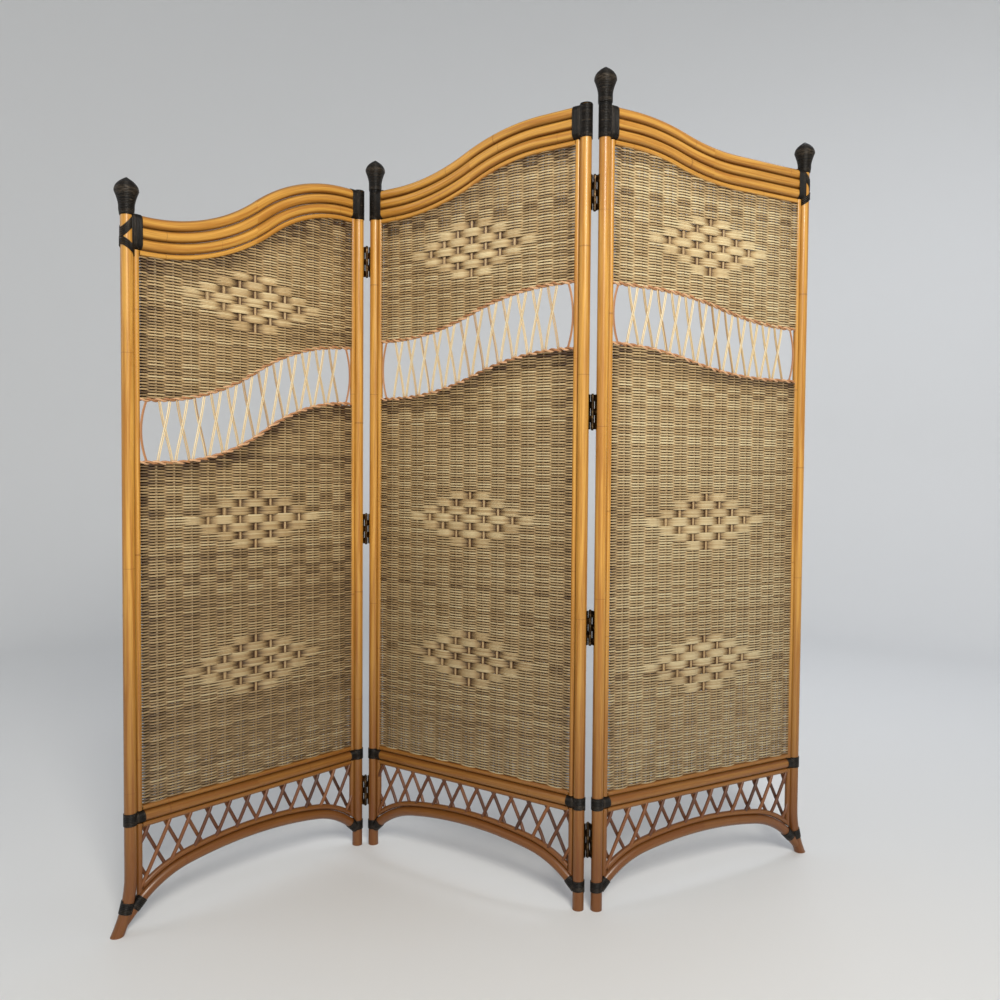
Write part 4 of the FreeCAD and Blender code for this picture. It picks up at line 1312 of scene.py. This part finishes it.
@dataclass(frozen=True)
class Finial:
    """Wound knob on a post: a collar, a straight neck, a hollow flare, a swelling and a pointed dome."""

    peel: Peel
    collar_radius: float = 14.0
    outer_collar_radius: float = 12.75
    collar_height: float = 5.0
    neck_radius: float = 14.5
    neck_height: float = 19.0
    outer_neck_height: float = 11.0
    outer_skirt: float = 7.0
    flare_height: float = 30.0
    swell_radius: float = 23.0
    flare_power: float = 1.5
    dome_height: float = 26.5
    dome_power: float = 2.2
    tip_radius: float = 0.7
    outline_points: int = 8
    tone: float = 0.45
    worn_tone: float = 0.95
    worn_reach: float = 5.0
    core_tone: float = 0.1
    core_sides: int = 32

    def profile(self, outer: bool) -> np.ndarray:
        """Outline under the strips.

        Args:
            outer: Whether the knob is on a splayed post, where its neck is shorter and runs down over the post.

        Returns:
            Distances along the axis, radii and the strips' tones.
        """
        neck_height = self.outer_neck_height if outer else self.neck_height
        foot = (-self.outer_skirt, self.outer_collar_radius) if outer else (0.0, self.collar_radius)
        rise = np.linspace(0.0, 1.0, self.outline_points + 1)[1:]
        swell_z = neck_height + self.flare_height
        flare = [(neck_height + self.flare_height * t,
                  self.neck_radius + (self.swell_radius - self.neck_radius) * t ** self.flare_power) for t in rise]
        dome = [(swell_z + self.dome_height * t,
                 max(self.tip_radius, self.swell_radius * (1 - t ** self.dome_power))) for t in rise]
        outline = [foot, (self.collar_height, self.neck_radius), (neck_height, self.neck_radius), *flare, *dome]
        # The widest turns are rubbed by hands
        return np.array([(z, radius, self.worn_tone if abs(z - swell_z) < self.worn_reach else self.tone)
                         for z, radius in outline])

    def build(self, panel: Panel, side: Side, base: float) -> None:
        """Wind a knob and put it in place of its plain solid.

        Args:
            panel: The panel.
            side: Side of the post that carries it.
            base: Height of the post's top.
        """
        mesh = StrandMesh()
        foot = np.array([panel.post_x(side), 0.0, base])
        profile = self.profile(side in panel.splayed)
        self.peel.coil(mesh, foot, UP, profile)
        ring = oval(2.0, 2.0, self.core_sides)
        section = ring[None] * profile[:, 1, None, None]
        rings = np.concatenate([section, np.broadcast_to(profile[:, 0, None, None], (*section.shape[:2], 1))], axis=2)
        mesh.loft(rings + foot, rings, self.core_tone)
        name = f"{side.name.lower()}_finial"
        piece = mesh.build(f"{name}_winding", panel, DyedPeel().material(), Slot.PEEL)
        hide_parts(f"{panel.name}_{name}")


@dataclass(frozen=True)
class HingeScrews:
    """Slotted countersunk screws in the leaves of one row of hinges."""

    low: float
    high: float
    count: int
    knuckle_side: int
    leaf_outside: float = 12.0
    leaf_middle: float = 5.4
    spacing: float = 26.0
    stagger: float = 0.8
    head_radius: float = 2.6
    # Inset from the head's edge and rise above the leaf, ring by ring
    head_rings: tuple[tuple[float, float], ...] = ((0.0, -0.1), (0.0, 0.14), (0.45, 0.35))
    slot_width: float = 0.9
    arc_points: int = 9

    def head(self, mesh: StrandMesh, middle: np.ndarray, outward: int) -> None:
        """Add one screw head, as two halves that a slot parts.

        Args:
            mesh: Mesh that takes the head.
            middle: Middle of the head on the leaf's face.
            outward: Sign of the direction along X that the face looks to.
        """
        bow = np.linspace(-math.pi / 2, math.pi / 2, self.arc_points)
        for half in (1, -1):
            rings = []
            for inset, rise in self.head_rings:
                radius = self.head_radius - inset
                y = half * (np.cos(bow) * radius + self.slot_width / 2)
                z = half * np.sin(bow) * radius
                rings.append(np.stack([np.full_like(y, outward * rise), outward * y, z], axis=1))
            stacked = np.stack(rings)
            mesh.loft(stacked + middle, stacked, tone=0.5)

    def build(self, panel: Panel, side: Side, name: str, material: bpy.types.Material) -> None:
        """Drive the screws of one panel's leaves.

        Args:
            panel: The panel.
            side: Its side that the hinges are on.
            name: Name of the piece after the panel's own.
            material: Finish of the screws.
        """
        mesh = StrandMesh()
        x = panel.post_x(side) + side.value * self.leaf_outside
        for height in np.linspace(self.low, self.high, self.count):
            for step in (-1, 0, 1):
                y = self.knuckle_side * (self.leaf_middle + self.stagger * (1 if step else -1))
                self.head(mesh, np.array([x, y, height + step * self.spacing]), side.value)
        mesh.build(name, panel, material, Slot.HINGE)


@dataclass(frozen=True)
class Poles:
    """Finish of the poles and hinges whose solids are shown as they are."""

    pole_parts: tuple[str, ...] = ("left_post", "right_post", "top_rail_upper", "top_rail_centre", "top_rail_lower",
                                   "weave_frame", "mid_rail", "lattice_frame", "arch_rail")
    hinge_parts: tuple[str, ...] = ("left_hinge_outer_leaves", "left_hinge_inner_leaves", "left_hinge_pins",
                                    "right_hinge_inner_leaves", "right_hinge_pins", "right_hinge_outer_leaves")

    def dress(self, node: str, material: bpy.types.Material) -> None:
        """Give a solid its finish."""
        frame["nodes"][node].data.materials.clear()
        frame["nodes"][node].data.materials.append(material)

    def build(self, panels: tuple[Panel, ...], metal: bpy.types.Material) -> None:
        """Dress the solids of all panels and of the hinges.

        Args:
            panels: The panels.
            metal: Finish of the hinges.
        """
        for panel in panels:
            finish = VarnishedPole().material(panel)
            for part in self.pole_parts:
                self.dress(f"{panel.name}_{part}", finish)
            log.info("%s: poles dressed", panel.name)
        for node in self.hinge_parts:
            self.dress(node, metal)


@dataclass(frozen=True)
class Studio:
    """Pale floor that sweeps up to a wall, soft light and the camera, in metres."""

    floor_radius: float = 3.6
    cove_radius: float = 1.2
    cove_points: int = 17
    wall_height: float = 6.0
    wall_sides: int = 96
    stage_colour: str = "#DFE0E1"
    sky_colour: str = "#E6EAF0"
    sky_strength: float = 0.42
    camera_place: tuple[float, float, float] = (1.2233, -1.7280, 0.9712)
    camera_heading: tuple[float, float] = (-0.5742, 0.8187)
    camera_pitch: float = 2.024
    camera_roll: float = 0.438
    focal_share: float = 0.9335
    sensor: float = 36.0

    def sweep(self) -> None:
        """Lay the floor and sweep it up to the wall all round."""
        sides = self.wall_sides
        rise = np.linspace(0.0, math.pi / 2, self.cove_points)
        cove = [(self.floor_radius + self.cove_radius * math.sin(a), self.cove_radius * (1 - math.cos(a)))
                for a in rise]
        outline = np.array([*cove, (self.floor_radius + self.cove_radius, self.wall_height)])
        turn = np.linspace(0.0, 2 * math.pi, sides, endpoint=False)
        circle = np.stack([np.cos(turn), np.sin(turn)], axis=1)
        heights = np.broadcast_to(outline[:, 1:, None], (len(outline), sides, 1))
        rings = np.concatenate([outline[:, :1, None] * circle, heights], axis=2)
        ring, side = np.meshgrid(np.arange(len(outline) - 1) * sides, np.arange(sides), indexing="ij")
        beside = (side + 1) % sides
        corners = [ring + side, ring + sides + side, ring + sides + beside, ring + beside]
        quads = np.stack(corners, axis=-1).reshape(-1, 4)
        mesh = bpy.data.meshes.new("studio_sweep")
        mesh.from_pydata(rings.reshape(-1, 3).tolist(), [], [list(range(sides)), *quads.tolist()])
        mesh.shade_smooth()
        shader = Shader("painted_sweep", Base_Color=linear(self.stage_colour), Roughness=0.6)
        mesh.materials.append(shader.material)
        sweep = show("studio_sweep", mesh)

    def lamp(self, name: str, place: Vector, target: Vector, size: float, power: float, colour: str) -> None:
        """Hang a square soft light.

        Args:
            name: Name of the light.
            place: Where it hangs.
            target: Point that it looks at.
            size: Length of its sides.
            power: Its power in watts.
            colour: Its colour.
        """
        data = bpy.data.lights.new(name, "AREA")
        data.size = size
        data.energy = power
        data.color = linear(colour)[:3]
        lamp = show(name, data)
        lamp.location = place
        lamp.rotation_euler = (target - place).to_track_quat("-Z", "Y").to_euler()

    def light(self) -> None:
        """Light the room evenly, with a soft key high on the front right and a wash on the wall behind."""
        world = bpy.data.worlds.new("studio")
        world.use_nodes = True
        sky = world.node_tree.nodes["Background"]
        sky.inputs["Color"].default_value = linear(self.sky_colour)
        sky.inputs["Strength"].default_value = self.sky_strength
        bpy.context.scene.world = world
        middle = (CAD_BOX[0] + CAD_BOX[1]) / 2
        self.lamp("key", Vector((2.7, -2.5, 3.0)), middle, size=1.2, power=158.0, colour="#FFFBF2")
        self.lamp("fill", Vector((-2.4, -2.6, 2.4)), middle, size=1.8, power=14.0, colour="#F4F8FF")
        self.lamp("wall_wash", Vector((0.4, 1.9, 2.9)), Vector((-0.7, 3.6, 0.3)), size=1.2, power=26.0,
                  colour="#EEF4FF")

    def camera(self) -> None:
        """Stand the camera where the photograph was taken."""
        data = bpy.data.cameras.new("camera")
        data.sensor_fit = "HORIZONTAL"
        data.sensor_width = self.sensor
        data.lens = self.focal_share * self.sensor
        camera = show("camera", data)
        pitch = math.radians(self.camera_pitch)
        look = Vector((*[part * math.cos(pitch) for part in self.camera_heading], -math.sin(pitch)))
        roll = Matrix.Rotation(math.radians(self.camera_roll), 4, "Z")
        turned = look.to_track_quat("-Z", "Y").to_matrix().to_4x4() @ roll
        camera.matrix_world = Matrix.Translation(self.camera_place) @ turned
        bpy.context.scene.camera = camera

    def build(self) -> None:
        """Make the floor, the light and the camera."""
        self.sweep()
        self.light()
        self.camera()
        bpy.context.scene.view_settings.view_transform = "Standard"


def main() -> None:
    """Dress the solids and build the pieces that take the place of plain ones."""
    panels = make_panels()
    left, middle, right = panels
    metal = BronzedSteel().material()
    Poles().build(panels, metal)
    weave = Weave()
    band = OpenworkBand(weave)
    lattice = Lattice()
    peel = Peel()
    bindings = Bindings(peel)
    finial = Finial(peel)
    for panel in panels:
        weave.build(panel)
        band.build(panel)
        lattice.build(panel)
        bindings.build(panel)
        for side in panel.finials:
            finial.build(panel, side, panel.crest_z(side) + bindings.post_tip)
    left_row = HingeScrews(low=140.0, high=1484.0, count=3, knuckle_side=-1)
    right_row = HingeScrews(low=153.0, high=1561.0, count=4, knuckle_side=1)
    left_row.build(left, Side.RIGHT, "hinge_screws", metal)
    left_row.build(middle, Side.LEFT, "left_hinge_screws", metal)
    right_row.build(middle, Side.RIGHT, "right_hinge_screws", metal)
    right_row.build(right, Side.LEFT, "hinge_screws", metal)
    Studio().build()


if __name__ == "__main__":
    main()
